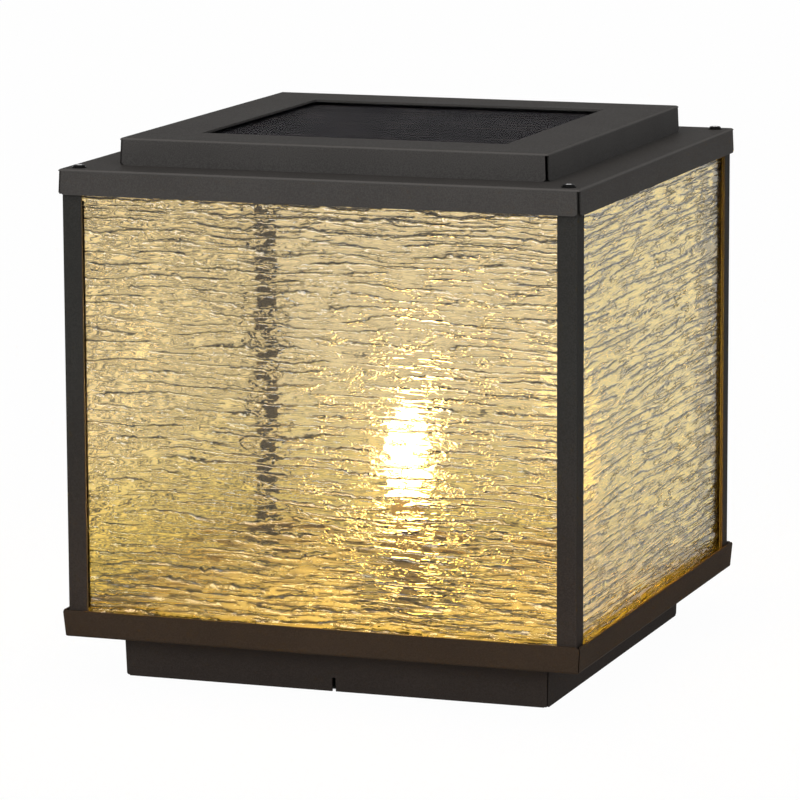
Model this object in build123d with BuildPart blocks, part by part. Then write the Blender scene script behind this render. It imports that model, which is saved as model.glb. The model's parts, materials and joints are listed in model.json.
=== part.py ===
from build123d import *
import math
import os

os.makedirs("parts", exist_ok=True)

# A solar lantern that stands on a square plinth. Lengths are in millimetres and angles in degrees.
# +Z is up, the front faces -Y, and the origin lies under the middle of the plinth.

# Overall form
lamp_width = 300.0
roof_ledge = 26.0
base_overhang = 25.0
plinth_height = 26.0
lantern_height = 262.7
cap_height = 15.2
roof_skirt = 14.3
base_rim = 15.2

# Folded sheet metal
sheet = 1.2
fold_radius = 1.6
roof_splay = 2.2
base_splay = 4.5
plinth_draft = 1.6
roof_seam = 2.4
base_seam = 0.7
seam_reach = 4.8
rim_chamfer = 1.2

# Corner posts and their welded tabs
post_leg = 11.4
post_sheet = 1.5
post_clearance = 0.3
post_bend = 1.0
tab_width = 12.0
tab_height = 3.0
tab_chamfer = 6.0
tab_screw_inset = 5.8

# Ripple glass panes and what holds them
pane_glass = 3.0
pane_corner_gap = 0.5
edge_seal = 0.5
edge_seal_width = 5.0
edge_seal_setback = 0.2
block_length = 20.0
block_inset = 53.0
block_lift = 0.5
retainer_leg = 6.0
retainer_sheet = 1.0
retainer_lift = 12.0
retainer_setback = 8.0
gasket_width = 4.5
gasket_setback = 1.0

# Solar window and panel
cap_border = 35.0
panel_margin = 10.0
panel_seal_height = 0.6
panel_seal_inset = 3.0
cover_glass_height = 2.0
cell_height = 0.4
cell_rows = 8
cell_gap = 0.8
cell_margin = 4.0
backboard_height = 2.0
junction_length = 30.0
junction_width = 18.0
junction_height = 6.0
junction_corner = 2.0
panel_lead_diameter = 2.6

# Fasteners: M4 screws hold the sheet, M5 screws hold the lantern on its plinth, M3 screws close the box
m3_radius = 1.45
m4_radius = 1.95
m5_radius = 2.45
thread_clearance = 0.05
hole_clearance = 0.3
washer_ratio = 2.1
washer_height = 0.5
head_ratio = 1.75
head_height_ratio = 0.55
head_round_share = 0.85
recess_ratio = 1.5
recess_width = 0.9
corner_screw_length = 10.0
cap_screw_length = 8.0
plinth_screw_length = 10.0
box_screw_length = 6.5
lid_screw_length = 8.0
holder_screw_length = 9.0
nut_ratio = 1.6
nut_height = 4.0

# Cap standoffs
standoff_gap = 8.4
standoff_radius = 3.6

# Battery box under the roof
box_wall = 2.0
cell_end_room = 3.5
cell_board_gap = 14.5
board_end_room = 7.0
board_side_room = 10.0
cell_pad_height = 1.8
box_corner = 4.0
box_lid_height = 2.0
box_ear_length = 14.0
box_ear_width = 16.0
box_ear_height = 6.0
box_ear_spread = 30.0
lid_boss = 8.0
cell_diameter = 18.4
cell_length = 65.0
cell_pitch = 18.8
cell_count = 3
cell_cap_radius = 3.0
cell_cap_height = 0.8
cell_tab_height = 0.3
cell_tab_width = 6.0
pad_clearance = 0.2
pad_length = 50.0
board_length = 56.0
board_width = 66.0
board_height = 1.6
board_drop = 8.0
board_post_radius = 2.5
board_post_inset = 4.0

# Wiring
lead_diameter = 4.0
lead_bend = 25.0
lead_foot_bend = 20.0
lead_setback = 8.5
lead_drop = 7.5
lead_floor_gap = 0.3
lead_exit_y = 0.0
connector_radius = 4.5
plug_length = 18.0
socket_length = 22.0
connector_setback = 40.0
connector_key = 1.2
grommet_wall = 1.6
grommet_lip = 1.0
gland_length = 9.0
gland_wall = 1.8
clip_wall = 1.2
clip_width = 8.0
clip_clearance = 0.1
clip_rise = 67.8
clip_drop = 67.0
clip_roof_gap = 8.0
clip_floor_reach = 80.0

# Lamp holder and bulb
cup_radius = 30.0
cup_height = 12.0
cup_wall = 2.0
cup_edge = 3.0
cup_boss_radius = 4.0
cup_screw_spread = 20.0
socket_radius = 12.5
socket_height = 27.6
socket_floor = 6.2
socket_edge = 1.5
socket_flange_radius = 15.0
socket_flange_height = 3.0
screw_cap_radius = 6.95
screw_cap_height = 18.0
screw_cap_wall = 0.4
screw_cap_clearance = 0.3
thread_turns = 5
thread_depth = 0.6
thread_pitch = 2.8
contact_radius = 2.4
contact_height = 2.0
housing_gap = 0.6
housing_height = 23.6
housing_foot_radius = 9.0
housing_wall = 2.4
envelope_radius = 14.0
envelope_lower_sweep = 60.0
envelope_lower_height = 22.0
envelope_upper_sweep = 36.4
envelope_tip_radius = 5.0
envelope_wall = 1.0
housing_shoulder = 0.6
light_board_height = 1.5
light_board_gap = 0.25
chip_size = 2.8
chip_height = 0.8
chip_ring = 5.6
chip_count = 8

# Base tray openings and push-button switch
weep_radius = 2.5
weep_setback = 11.5
weep_spread = 100.0
plinth_screw_inset = 14.0
plinth_screw_setback = 55.0
switch_setback = 9.5
bush_radius = 6.0
switch_flange_radius = 8.0
switch_flange_height = 2.0
switch_seal_height = 0.8
switch_nut_height = 2.5
switch_tail_radius = 5.5
switch_tail_height = 15.3
button_radius = 4.0
button_fit = 0.05
button_stand = 3.5
button_length = 11.0
button_travel = 2.0
button_margin = 1.0
button_edge = 0.6
switch_lead_rise = 4.8

# Plinth
plinth_frame = 27.0
plinth_opening_corner = 12.0
anchor_inset = 40.0
anchor_radius = 3.5
lug_margin = 20.0
lug_height = 2.0
lug_corner = 8.0
slot_width = 2.2
slot_height = 7.8

# Widths, levels and faces that follow from the sizes above
cap_width = lamp_width - 2 * roof_ledge
window_width = cap_width - 2 * cap_border
panel_width = window_width + 2 * panel_margin
cell_field = panel_width - 2 * cell_margin
plinth_width = lamp_width - 2 * base_overhang
plinth_opening = plinth_width - 2 * plinth_frame
anchor_spacing = plinth_width - 2 * anchor_inset
box_length = 2 * box_wall + cell_end_room + cell_length + cell_board_gap + board_length + board_end_room
box_width = board_width + 2 * (box_wall + board_side_room)
box_height = box_wall + cell_diameter + 2 * cell_pad_height
cell_bank_x = box_wall + cell_end_room + (cell_length - box_length) / 2
board_x = (box_length - board_length) / 2 - box_wall - board_end_room
base_under = plinth_height
base_floor = base_under + sheet
roof_top = base_under + lantern_height
roof_under = roof_top - sheet
cap_top = roof_top + cap_height
cap_under = cap_top - sheet
post_outer = lamp_width / 2 - sheet - post_clearance
post_inner = post_outer - post_sheet
pane_outer = post_inner - edge_seal
pane_inner = pane_outer - pane_glass
pane_half = pane_inner - pane_corner_gap
pane_bottom = base_floor + tab_height + block_lift
pane_top = roof_under - tab_height
screw_line = post_inner - tab_screw_inset
corners = [(-1, -1), (1, -1), (1, 1), (-1, 1)]
corner_points = [(a * screw_line, b * screw_line) for a, b in corners]
standoff_line = panel_width / 2 + standoff_gap + standoff_radius
box_under = roof_under - box_height
lead_radius = lead_diameter / 2
lead_corner = pane_inner - lead_setback
connector_far_y = lead_corner - connector_setback
lead_top = roof_under - lead_drop
lead_low = base_floor + lead_radius + lead_floor_gap


def plate_plane(level, facing):
    """The plane of a plate at level, whose normal faces up (1) or down (-1)."""
    return Plane(origin=(0, 0, level), x_dir=(1, 0, 0), z_dir=(0, 0, facing))


def folded_tray(width, skirt, level, opens, splay, seam):
    """A square plate at level with four skirts folded towards opens, and a seam open at each corner."""
    outer = plate_plane(level, opens)
    inner = outer.offset(sheet)
    with BuildPart() as tray:
        with BuildSketch(outer):
            Rectangle(width, width)
        extrude(amount=skirt, taper=-splay)
        plate = tray.faces().sort_by(Axis(outer.origin, outer.z_dir))[0]
        fillet(plate.edges(), fold_radius)
        with BuildSketch(inner):
            Rectangle(width - 2 * sheet, width - 2 * sheet)
        extrude(amount=skirt - sheet, taper=-splay, mode=Mode.SUBTRACT)
        with BuildSketch(inner):
            with PolarLocations(width / math.sqrt(2), 4, start_angle=45):
                Rectangle(2 * seam_reach, seam)
        extrude(amount=skirt, mode=Mode.SUBTRACT)
        rim = level + opens * skirt
        rim_edges = tray.edges().filter_by_position(Axis.Z, rim - sheet / 10, rim + sheet / 10)
        chamfer([edge for edge in rim_edges if edge.length < 2 * sheet], rim_chamfer)
    return tray


def screw_planes(points, seat, facing):
    """Planes at points on the level seat, whose normals run out of the screws' heads."""
    return [Plane(origin=(x, y, seat), x_dir=(1, 0, 0), z_dir=(0, 0, facing)) for x, y in points]


def washer_head_screws(thread_radius, length, planes):
    """A group of screws with domed heads, cross recesses and washers formed on the heads."""
    head_radius = thread_radius * head_ratio
    head_height = thread_radius * head_height_ratio
    with BuildPart() as screws:
        for plane in planes:
            with BuildSketch(plane):
                Circle(thread_radius * washer_ratio)
            extrude(amount=washer_height)
            with BuildSketch(plane):
                Circle(thread_radius)
            extrude(amount=-length)
            with BuildSketch(plane.offset(washer_height)):
                Circle(head_radius)
            extrude(amount=head_height)
            crown = screws.faces().sort_by_distance(plane.offset(washer_height + head_height).origin)[0]
            fillet(crown.edges(), head_height * head_round_share)
            with BuildSketch(plane.offset(washer_height + head_height)):
                Rectangle(thread_radius * recess_ratio, recess_width)
                Rectangle(recess_width, thread_radius * recess_ratio)
            extrude(amount=-head_height, mode=Mode.SUBTRACT)
    return screws


def towards_middle(a, b):
    """The alignment of a shape that reaches from its place in the corner (a, b) towards the lamp's axis."""
    return (Align.MAX if a > 0 else Align.MIN, Align.MAX if b > 0 else Align.MIN)


def angle_section(outer, leg, wall, a, b):
    """An angle's section in the corner (a, b), with its outer faces at outer on both axes."""
    with BuildSketch() as section:
        with Locations((a * outer, b * outer)):
            Rectangle(leg, wall, align=towards_middle(a, b))
            Rectangle(wall, leg, align=towards_middle(a, b))
    return section.sketch


# Plinth: a folded frame with an open top, a slot in its front and a lug for an anchor in each corner
plinth_tray = folded_tray(plinth_width, plinth_height, base_under, -1, -plinth_draft, base_seam)
plinth_screw_x = plinth_width / 2 - plinth_screw_inset
plinth_screw_y = plinth_width / 2 - plinth_screw_setback
plinth_screw_points = [(a * plinth_screw_x, b * plinth_screw_y) for a, b in corners]
lug_width = anchor_inset + lug_margin
lug_face = plinth_width / 2 - plinth_height * math.tan(math.radians(plinth_draft)) - sheet
with BuildPart() as plinth:
    add(plinth_tray.part)
    with BuildSketch(Plane.XY.offset(base_under)):
        RectangleRounded(plinth_opening, plinth_opening, plinth_opening_corner)
    extrude(amount=-2 * sheet, mode=Mode.SUBTRACT)
    for a, b in corners:
        with BuildSketch() as lug:
            with Locations((a * lug_face, b * lug_face)):
                Rectangle(lug_width, lug_width, align=towards_middle(a, b))
            free_corner = lug.vertices().sort_by_distance((0, 0, 0))[0]
            fillet(free_corner, lug_corner)
        extrude(amount=lug_height)
    with BuildSketch(Plane.XY):
        with GridLocations(anchor_spacing, anchor_spacing, 2, 2):
            Circle(anchor_radius)
    extrude(amount=lug_height, mode=Mode.SUBTRACT)
    with BuildSketch(Plane.XY.offset(base_under)):
        with Locations(*plinth_screw_points):
            Circle(m5_radius + hole_clearance)
    extrude(amount=-2 * sheet, mode=Mode.SUBTRACT)
    with BuildSketch(Plane.XZ.offset(plinth_width / 2 - 2 * sheet)):
        Rectangle(slot_width, slot_height, align=(Align.CENTER, Align.MIN))
    extrude(amount=4 * sheet, mode=Mode.SUBTRACT)
plinth.part.label = "plinth"
export_step(plinth.part, "parts/plinth.step")

# Base tray: the lantern's floor, with its rim turned up round the feet of the posts and panes
base_blank = folded_tray(lamp_width, base_rim, base_under, 1, base_splay, base_seam)
weep_points = [(a * (pane_inner - weep_setback), b * weep_spread) for a, b in corners]
switch_y = pane_inner - switch_setback
cup_screw_points = [(-cup_screw_spread, 0), (cup_screw_spread, 0)]
with BuildPart() as base_tray:
    add(base_blank.part)
    with BuildSketch(Plane.XY.offset(base_under)):
        with Locations(*corner_points):
            Circle(m4_radius + hole_clearance)
        with Locations(*cup_screw_points):
            Circle(m4_radius + hole_clearance)
        with Locations(*plinth_screw_points):
            Circle(m5_radius + hole_clearance)
        with Locations(*weep_points):
            Circle(weep_radius)
        with Locations((0, switch_y)):
            Circle(bush_radius + hole_clearance)
    extrude(amount=sheet, mode=Mode.SUBTRACT)
base_tray.part.label = "base_tray"
export_step(base_tray.part, "parts/base_tray.step")

# Roof tray: the flat roof with its skirt turned down over the heads of the posts and panes
roof_blank = folded_tray(lamp_width, roof_skirt, roof_top, -1, roof_splay, roof_seam)
cap_screw_points = [(a * standoff_line, b * standoff_line) for a, b in corners]
box_ear_x = (box_length + box_ear_length) / 2
box_screw_points = [(a * box_ear_x, b * box_ear_spread) for a, b in corners]
grommet_bore = panel_lead_diameter / 2 + clip_clearance
with BuildPart() as roof_tray:
    add(roof_blank.part)
    with BuildSketch(Plane.XY.offset(roof_top)):
        with Locations(*corner_points, *cap_screw_points, *box_screw_points):
            Circle(m4_radius + hole_clearance)
        with Locations((board_x, 0)):
            Circle(grommet_bore + grommet_wall)
    extrude(amount=-sheet, mode=Mode.SUBTRACT)
roof_tray.part.label = "roof_tray"
export_step(roof_tray.part, "parts/roof_tray.step")

# Solar cap: a second, smaller tray on the roof, with the window for the panel
cap_blank = folded_tray(cap_width, cap_height, cap_top, -1, roof_splay, roof_seam)
with BuildPart() as solar_cap:
    add(cap_blank.part)
    with BuildSketch(Plane.XY.offset(cap_top)):
        Rectangle(window_width, window_width)
    extrude(amount=-sheet, mode=Mode.SUBTRACT)
solar_cap.part.label = "solar_cap"
export_step(solar_cap.part, "parts/solar_cap.step")

# Cap standoffs: four threaded pillars under the cap, which stand on the roof
with BuildPart() as cap_standoffs:
    with BuildSketch(Plane.XY.offset(roof_top)):
        with Locations(*cap_screw_points):
            RegularPolygon(standoff_radius, 6)
    extrude(amount=cap_under - roof_top)
    with BuildSketch(Plane.XY.offset(roof_top)):
        with Locations(*cap_screw_points):
            Circle(m4_radius + thread_clearance)
    extrude(amount=cap_screw_length, mode=Mode.SUBTRACT)
cap_standoffs.part.label = "cap_standoffs"
export_step(cap_standoffs.part, "parts/cap_standoffs.step")

# Cap screws: from under the roof into the standoffs
cap_screws = washer_head_screws(m4_radius, cap_screw_length, screw_planes(cap_screw_points, roof_under, -1))
cap_screws.part.label = "cap_screws"
export_step(cap_screws.part, "parts/cap_screws.step")

# Roof corner screws: through the roof into the posts' upper tabs
roof_corner_screws = washer_head_screws(
    m4_radius, corner_screw_length, screw_planes(corner_points, roof_top, 1)
)
roof_corner_screws.part.label = "roof_corner_screws"
export_step(roof_corner_screws.part, "parts/roof_corner_screws.step")

# Foot welds: plugs of weld metal that fill the base tray's corner holes, flush below, and hold the lower tabs
with BuildPart() as foot_welds:
    with BuildSketch(Plane.XY.offset(base_under)):
        with Locations(*corner_points):
            Circle(m4_radius + hole_clearance)
    extrude(amount=sheet)
foot_welds.part.label = "foot_welds"
export_step(foot_welds.part, "parts/foot_welds.step")

# Plinth screws and nuts: from inside the lantern down through the base tray and the plinth's top
plinth_screws = washer_head_screws(
    m5_radius, plinth_screw_length, screw_planes(plinth_screw_points, base_floor, 1)
)
plinth_screws.part.label = "plinth_screws"
export_step(plinth_screws.part, "parts/plinth_screws.step")

with BuildPart() as plinth_nuts:
    with BuildSketch(Plane.XY.offset(base_under - sheet)):
        with Locations(*plinth_screw_points):
            RegularPolygon(m5_radius * nut_ratio, 6, major_radius=False)
            Circle(m5_radius + thread_clearance, mode=Mode.SUBTRACT)
    extrude(amount=-nut_height)
plinth_nuts.part.label = "plinth_nuts"
export_step(plinth_nuts.part, "parts/plinth_nuts.step")

# Corner posts: folded angles with a tab at each end, tapped at the top for the roof's corner screw
post_names = {
    (-1, -1): "corner_post_front_left",
    (1, -1): "corner_post_front_right",
    (1, 1): "corner_post_back_right",
    (-1, 1): "corner_post_back_left",
}
for (a, b), post_name in post_names.items():
    post_section = angle_section(post_outer, post_leg, post_sheet, a, b)
    with BuildPart() as corner_post:
        with BuildSketch(Plane.XY.offset(base_floor)):
            add(post_section)
        extrude(amount=roof_under - base_floor)
        upright_edges = corner_post.edges().filter_by(Axis.Z)
        bend_point = (a * post_outer, b * post_outer, (roof_under + base_floor) / 2)
        fillet(upright_edges.sort_by_distance(bend_point)[0], post_bend)
        for tab_level, tapped in ((base_floor, False), (roof_under - tab_height, True)):
            with BuildSketch(Plane.XY.offset(tab_level)) as tab:
                with Locations((a * post_inner, b * post_inner)):
                    Rectangle(tab_width, tab_width, align=towards_middle(a, b))
                free_corner = tab.vertices().sort_by_distance((0, 0, tab_level))[0]
                chamfer(free_corner, tab_chamfer)
                if tapped:
                    with Locations((a * screw_line, b * screw_line)):
                        Circle(m4_radius + thread_clearance, mode=Mode.SUBTRACT)
            extrude(amount=tab_height)
    corner_post.part.label = post_name
    export_step(corner_post.part, f"parts/{post_name}.step")

# Glass panes: four upright sheets of ripple glass behind the legs of the posts
side_turns = {"front": 0, "right": 90, "back": 180, "left": 270}
pane_middle = (pane_outer + pane_inner) / 2
for side, turn in side_turns.items():
    pane_name = f"glass_pane_{side}"
    with BuildPart() as glass_pane:
        with BuildSketch(Plane.XY.offset(pane_bottom)):
            with PolarLocations(pane_middle, 1, start_angle=turn - 90):
                Rectangle(pane_glass, 2 * pane_half)
        extrude(amount=pane_top - pane_bottom)
    glass_pane.part.label = pane_name
    export_step(glass_pane.part, f"parts/{pane_name}.step")

# Pane blocks: two rubber pads under each pane
with BuildPart() as pane_blocks:
    for turn in side_turns.values():
        with BuildSketch(Plane.XY.offset(base_floor)):
            with PolarLocations(pane_middle, 1, start_angle=turn - 90):
                with GridLocations(0, 2 * (pane_half - block_inset), 1, 2):
                    Rectangle(pane_glass, block_length)
        extrude(amount=pane_bottom - base_floor)
pane_blocks.part.label = "pane_blocks"
export_step(pane_blocks.part, "parts/pane_blocks.step")

# Pane seals: strips between the legs of the posts and the outer faces of the panes
seal_offset = pane_half - edge_seal_setback - edge_seal_width / 2
with BuildPart() as pane_seals:
    for turn in side_turns.values():
        with BuildSketch(Plane.XY.offset(pane_bottom)):
            with PolarLocations(pane_outer + edge_seal / 2, 1, start_angle=turn - 90):
                with GridLocations(0, 2 * seal_offset, 1, 2):
                    Rectangle(edge_seal, edge_seal_width)
        extrude(amount=pane_top - pane_bottom)
pane_seals.part.label = "pane_seals"
export_step(pane_seals.part, "parts/pane_seals.step")

# Pane retainers: small angles inside the corners, which press the panes against the posts
retainer_bottom = base_floor + tab_height + retainer_lift
retainer_top = roof_top - corner_screw_length - retainer_setback
retainer_sections = [angle_section(pane_inner, retainer_leg, retainer_sheet, a, b) for a, b in corners]
with BuildPart() as pane_retainers:
    for retainer_section in retainer_sections:
        with BuildSketch(Plane.XY.offset(retainer_bottom)):
            add(retainer_section)
        extrude(amount=retainer_top - retainer_bottom)
pane_retainers.part.label = "pane_retainers"
export_step(pane_retainers.part, "parts/pane_retainers.step")

# Roof gasket: four strips between the roof and the top edges of the panes
gasket_half = post_inner - tab_width - gasket_setback
with BuildPart() as roof_gasket:
    for turn in side_turns.values():
        with BuildSketch(Plane.XY.offset(pane_top)):
            with PolarLocations(pane_middle, 1, start_angle=turn - 90):
                Rectangle(gasket_width, 2 * gasket_half)
        extrude(amount=roof_under - pane_top)
roof_gasket.part.label = "roof_gasket"
export_step(roof_gasket.part, "parts/roof_gasket.step")

# Solar panel, from the top down: seal, cover glass, cells and backboard
glass_top = cap_under - panel_seal_height
cells_top = glass_top - cover_glass_height
board_top = cells_top - cell_height
backboard_under = board_top - backboard_height
with BuildPart() as panel_seal:
    with BuildSketch(Plane.XY.offset(glass_top)):
        Rectangle(panel_width, panel_width)
        opening = window_width + 2 * panel_seal_inset
        Rectangle(opening, opening, mode=Mode.SUBTRACT)
    extrude(amount=panel_seal_height)
panel_seal.part.label = "panel_seal"
export_step(panel_seal.part, "parts/panel_seal.step")

with BuildPart() as panel_cover_glass:
    with BuildSketch(Plane.XY.offset(cells_top)):
        Rectangle(panel_width, panel_width)
    extrude(amount=cover_glass_height)
panel_cover_glass.part.label = "panel_cover_glass"
export_step(panel_cover_glass.part, "parts/panel_cover_glass.step")

cell_strip = cell_field / cell_rows
with BuildPart() as solar_cells:
    with BuildSketch(Plane.XY.offset(board_top)):
        with GridLocations(0, cell_strip, 1, cell_rows):
            Rectangle(cell_field, cell_strip - cell_gap)
    extrude(amount=cell_height)
solar_cells.part.label = "solar_cells"
export_step(solar_cells.part, "parts/solar_cells.step")

with BuildPart() as panel_backboard:
    with BuildSketch(Plane.XY.offset(backboard_under)):
        Rectangle(panel_width, panel_width)
    extrude(amount=backboard_height)
panel_backboard.part.label = "panel_backboard"
export_step(panel_backboard.part, "parts/panel_backboard.step")

# Panel junction box and the short lead that drops from it through the roof
junction_under = backboard_under - junction_height
with BuildPart() as panel_junction_box:
    with BuildSketch(Plane.XY.offset(junction_under)):
        with Locations((board_x, 0)):
            RectangleRounded(junction_length, junction_width, junction_corner)
    extrude(amount=junction_height)
panel_junction_box.part.label = "panel_junction_box"
export_step(panel_junction_box.part, "parts/panel_junction_box.step")

box_inside_top = roof_under - box_wall
board_upper = box_inside_top - board_drop
with BuildPart() as panel_lead:
    with BuildSketch(Plane.XY.offset(board_upper)):
        with Locations((board_x, 0)):
            Circle(panel_lead_diameter / 2)
    extrude(amount=junction_under - board_upper)
panel_lead.part.label = "panel_lead"
export_step(panel_lead.part, "parts/panel_lead.step")

# Roof grommet: seals the lead where it passes the roof
with BuildPart() as roof_grommet:
    with BuildSketch(Plane.XY.offset(roof_under)):
        with Locations((board_x, 0)):
            Circle(grommet_bore + grommet_wall)
    extrude(amount=sheet)
    with BuildSketch(Plane.XY.offset(roof_top)):
        with Locations((board_x, 0)):
            Circle(grommet_bore + grommet_wall + grommet_lip)
    extrude(amount=grommet_lip)
    with BuildSketch(Plane.XY.offset(roof_under)):
        with Locations((board_x, 0)):
            Circle(grommet_bore)
    extrude(amount=sheet + grommet_lip, mode=Mode.SUBTRACT)
roof_grommet.part.label = "roof_grommet"
export_step(roof_grommet.part, "parts/roof_grommet.step")

# Battery box: a shell open at the bottom, hung under the roof by four ears
lid_boss_points = [
    (a * (box_length - lid_boss) / 2, b * (box_width - lid_boss) / 2) for a, b in corners
]
board_post_points = [
    (board_x + a * (board_length / 2 - board_post_inset), b * (board_width / 2 - board_post_inset))
    for a, b in corners
]
pigtail_plane = Plane(origin=(box_length / 2, lead_exit_y, lead_top), x_dir=(0, 1, 0), z_dir=(1, 0, 0))
with BuildPart() as battery_box:
    with BuildSketch(Plane.XY.offset(box_under)):
        RectangleRounded(box_length, box_width, box_corner)
    extrude(amount=box_height)
    with BuildSketch(Plane.XY.offset(box_under)):
        RectangleRounded(box_length - 2 * box_wall, box_width - 2 * box_wall, box_corner - box_wall)
    extrude(amount=box_height - box_wall, mode=Mode.SUBTRACT)
    with BuildSketch(Plane.XY.offset(box_under)):
        with Locations(*lid_boss_points):
            RectangleRounded(lid_boss, lid_boss, box_corner - box_wall / 2)
        with Locations(*lid_boss_points):
            Circle(m3_radius + thread_clearance, mode=Mode.SUBTRACT)
    extrude(amount=box_height - box_wall)
    with BuildSketch(Plane.XY.offset(roof_under)):
        with Locations(*box_screw_points):
            Rectangle(box_ear_length, box_ear_width)
        with Locations(*box_screw_points):
            Circle(m4_radius + thread_clearance, mode=Mode.SUBTRACT)
    extrude(amount=-box_ear_height)
    with BuildSketch(Plane.XY.offset(board_upper)):
        with Locations(*board_post_points):
            Circle(board_post_radius)
    extrude(amount=board_drop)
    with BuildSketch(Plane.XY.offset(roof_under)):
        with Locations((board_x, 0)):
            Circle(grommet_bore)
    extrude(amount=-box_wall, mode=Mode.SUBTRACT)
    with BuildSketch(pigtail_plane):
        Circle(lead_radius + clip_clearance)
    extrude(amount=-box_wall, mode=Mode.SUBTRACT)
battery_box.part.label = "battery_box"
export_step(battery_box.part, "parts/battery_box.step")

# Battery box screws: down through the roof into the ears
battery_box_screws = washer_head_screws(
    m4_radius, box_screw_length, screw_planes(box_screw_points, roof_top, 1)
)
battery_box_screws.part.label = "battery_box_screws"
export_step(battery_box_screws.part, "parts/battery_box_screws.step")

# Battery box lid and its screws
with BuildPart() as battery_box_lid:
    with BuildSketch(Plane.XY.offset(box_under)):
        RectangleRounded(box_length, box_width, box_corner)
        with Locations(*lid_boss_points):
            Circle(m3_radius + hole_clearance, mode=Mode.SUBTRACT)
    extrude(amount=-box_lid_height)
battery_box_lid.part.label = "battery_box_lid"
export_step(battery_box_lid.part, "parts/battery_box_lid.step")

battery_lid_screws = washer_head_screws(
    m3_radius, lid_screw_length, screw_planes(lid_boss_points, box_under - box_lid_height, -1)
)
battery_lid_screws.part.label = "battery_lid_screws"
export_step(battery_lid_screws.part, "parts/battery_lid_screws.step")

# Battery cells: three round cells side by side, with their raised ends towards the board
cell_level = box_inside_top - cell_pad_height - cell_diameter / 2
cell_rows_y = [cell_pitch * (n - (cell_count - 1) / 2) for n in range(cell_count)]
cell_start = cell_bank_x - cell_length / 2
with BuildPart() as battery_cells:
    for y in cell_rows_y:
        end_plane = Plane(origin=(cell_start, y, cell_level), x_dir=(0, 1, 0), z_dir=(1, 0, 0))
        with BuildSketch(end_plane):
            Circle(cell_diameter / 2)
        extrude(amount=cell_length - cell_cap_height)
        with BuildSketch(end_plane.offset(cell_length - cell_cap_height)):
            Circle(cell_cap_radius)
        extrude(amount=cell_cap_height)
battery_cells.part.label = "battery_cells"
export_step(battery_cells.part, "parts/battery_cells.step")

# Cell tabs: welded strips across the ends of the cells
tab_reach = cell_pitch * (cell_count - 1) + cell_tab_width
with BuildPart() as cell_tabs:
    for tab_x in (cell_start - cell_tab_height, cell_start + cell_length):
        with BuildSketch(Plane(origin=(tab_x, 0, cell_level), x_dir=(0, 1, 0), z_dir=(1, 0, 0))):
            Rectangle(tab_reach, cell_tab_width)
        extrude(amount=cell_tab_height)
cell_tabs.part.label = "cell_tabs"
export_step(cell_tabs.part, "parts/cell_tabs.step")

# Cell pads: foam above and below the cells
pad_width = cell_pitch * cell_count
cell_top = cell_level + cell_diameter / 2 + pad_clearance
cell_bottom = cell_level - cell_diameter / 2 - pad_clearance
with BuildPart() as cell_pads:
    with BuildSketch(Plane.XY.offset(cell_top)):
        with Locations((cell_bank_x, 0)):
            Rectangle(pad_length, pad_width)
    extrude(amount=box_inside_top - cell_top)
    with BuildSketch(Plane.XY.offset(box_under)):
        with Locations((cell_bank_x, 0)):
            Rectangle(pad_length, pad_width)
    extrude(amount=cell_bottom - box_under)
cell_pads.part.label = "cell_pads"
export_step(cell_pads.part, "parts/cell_pads.step")

# Controller board and the components under it
board_under = board_upper - board_height
with BuildPart() as controller_board:
    with BuildSketch(Plane.XY.offset(board_upper)):
        with Locations((board_x, 0)):
            Rectangle(board_length, board_width)
    extrude(amount=-board_height)
controller_board.part.label = "controller_board"
export_step(controller_board.part, "parts/controller_board.step")

# Each component is (x, y, length, width, height) from the middle of the board
block_components = [(-14.0, 16.0, 9.0, 7.0, 2.0), (4.0, 18.0, 12.0, 12.0, 6.0), (-6.0, -4.0, 6.0, 5.0, 1.8),
                    (14.0, -8.0, 7.0, 16.0, 7.5), (-16.0, -18.0, 8.0, 10.0, 7.5)]
# Each capacitor is (x, y, radius, height)
round_components = [(2.0, -20.0, 4.0, 9.0), (18.0, 8.0, 3.0, 7.0)]
with BuildPart() as board_components:
    for x, y, length, width, height in block_components:
        with BuildSketch(Plane.XY.offset(board_under)):
            with Locations((board_x + x, y)):
                Rectangle(length, width)
        extrude(amount=-height)
    for x, y, radius, height in round_components:
        with BuildSketch(Plane.XY.offset(board_under)):
            with Locations((board_x + x, y)):
                Circle(radius)
        extrude(amount=-height)
board_components.part.label = "board_components"
export_step(board_components.part, "parts/board_components.step")

# Box gland: where the pigtail leaves the battery box
with BuildPart() as box_gland:
    with BuildSketch(pigtail_plane):
        Circle(lead_radius + clip_clearance + gland_wall)
    extrude(amount=gland_length, taper=4)
    with BuildSketch(pigtail_plane):
        Circle(lead_radius + clip_clearance)
    extrude(amount=gland_length, mode=Mode.SUBTRACT)
box_gland.part.label = "box_gland"
export_step(box_gland.part, "parts/box_gland.step")

# Pigtail: from the battery box along the roof to the connector's socket
pigtail_start = (box_length / 2 - box_wall, lead_exit_y, lead_top)
socket_near_y = connector_far_y - plug_length - socket_length
with BuildPart() as roof_pigtail:
    with BuildLine() as pigtail_path:
        FilletPolyline(
            pigtail_start, (lead_corner, lead_exit_y, lead_top), (lead_corner, socket_near_y, lead_top),
            radius=[lead_bend],
        )
    with BuildSketch(Plane(origin=pigtail_start, x_dir=(0, 1, 0), z_dir=(1, 0, 0))):
        Circle(lead_radius)
    sweep(path=pigtail_path.wires()[0])
roof_pigtail.part.label = "roof_pigtail"
export_step(roof_pigtail.part, "parts/roof_pigtail.step")

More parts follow.
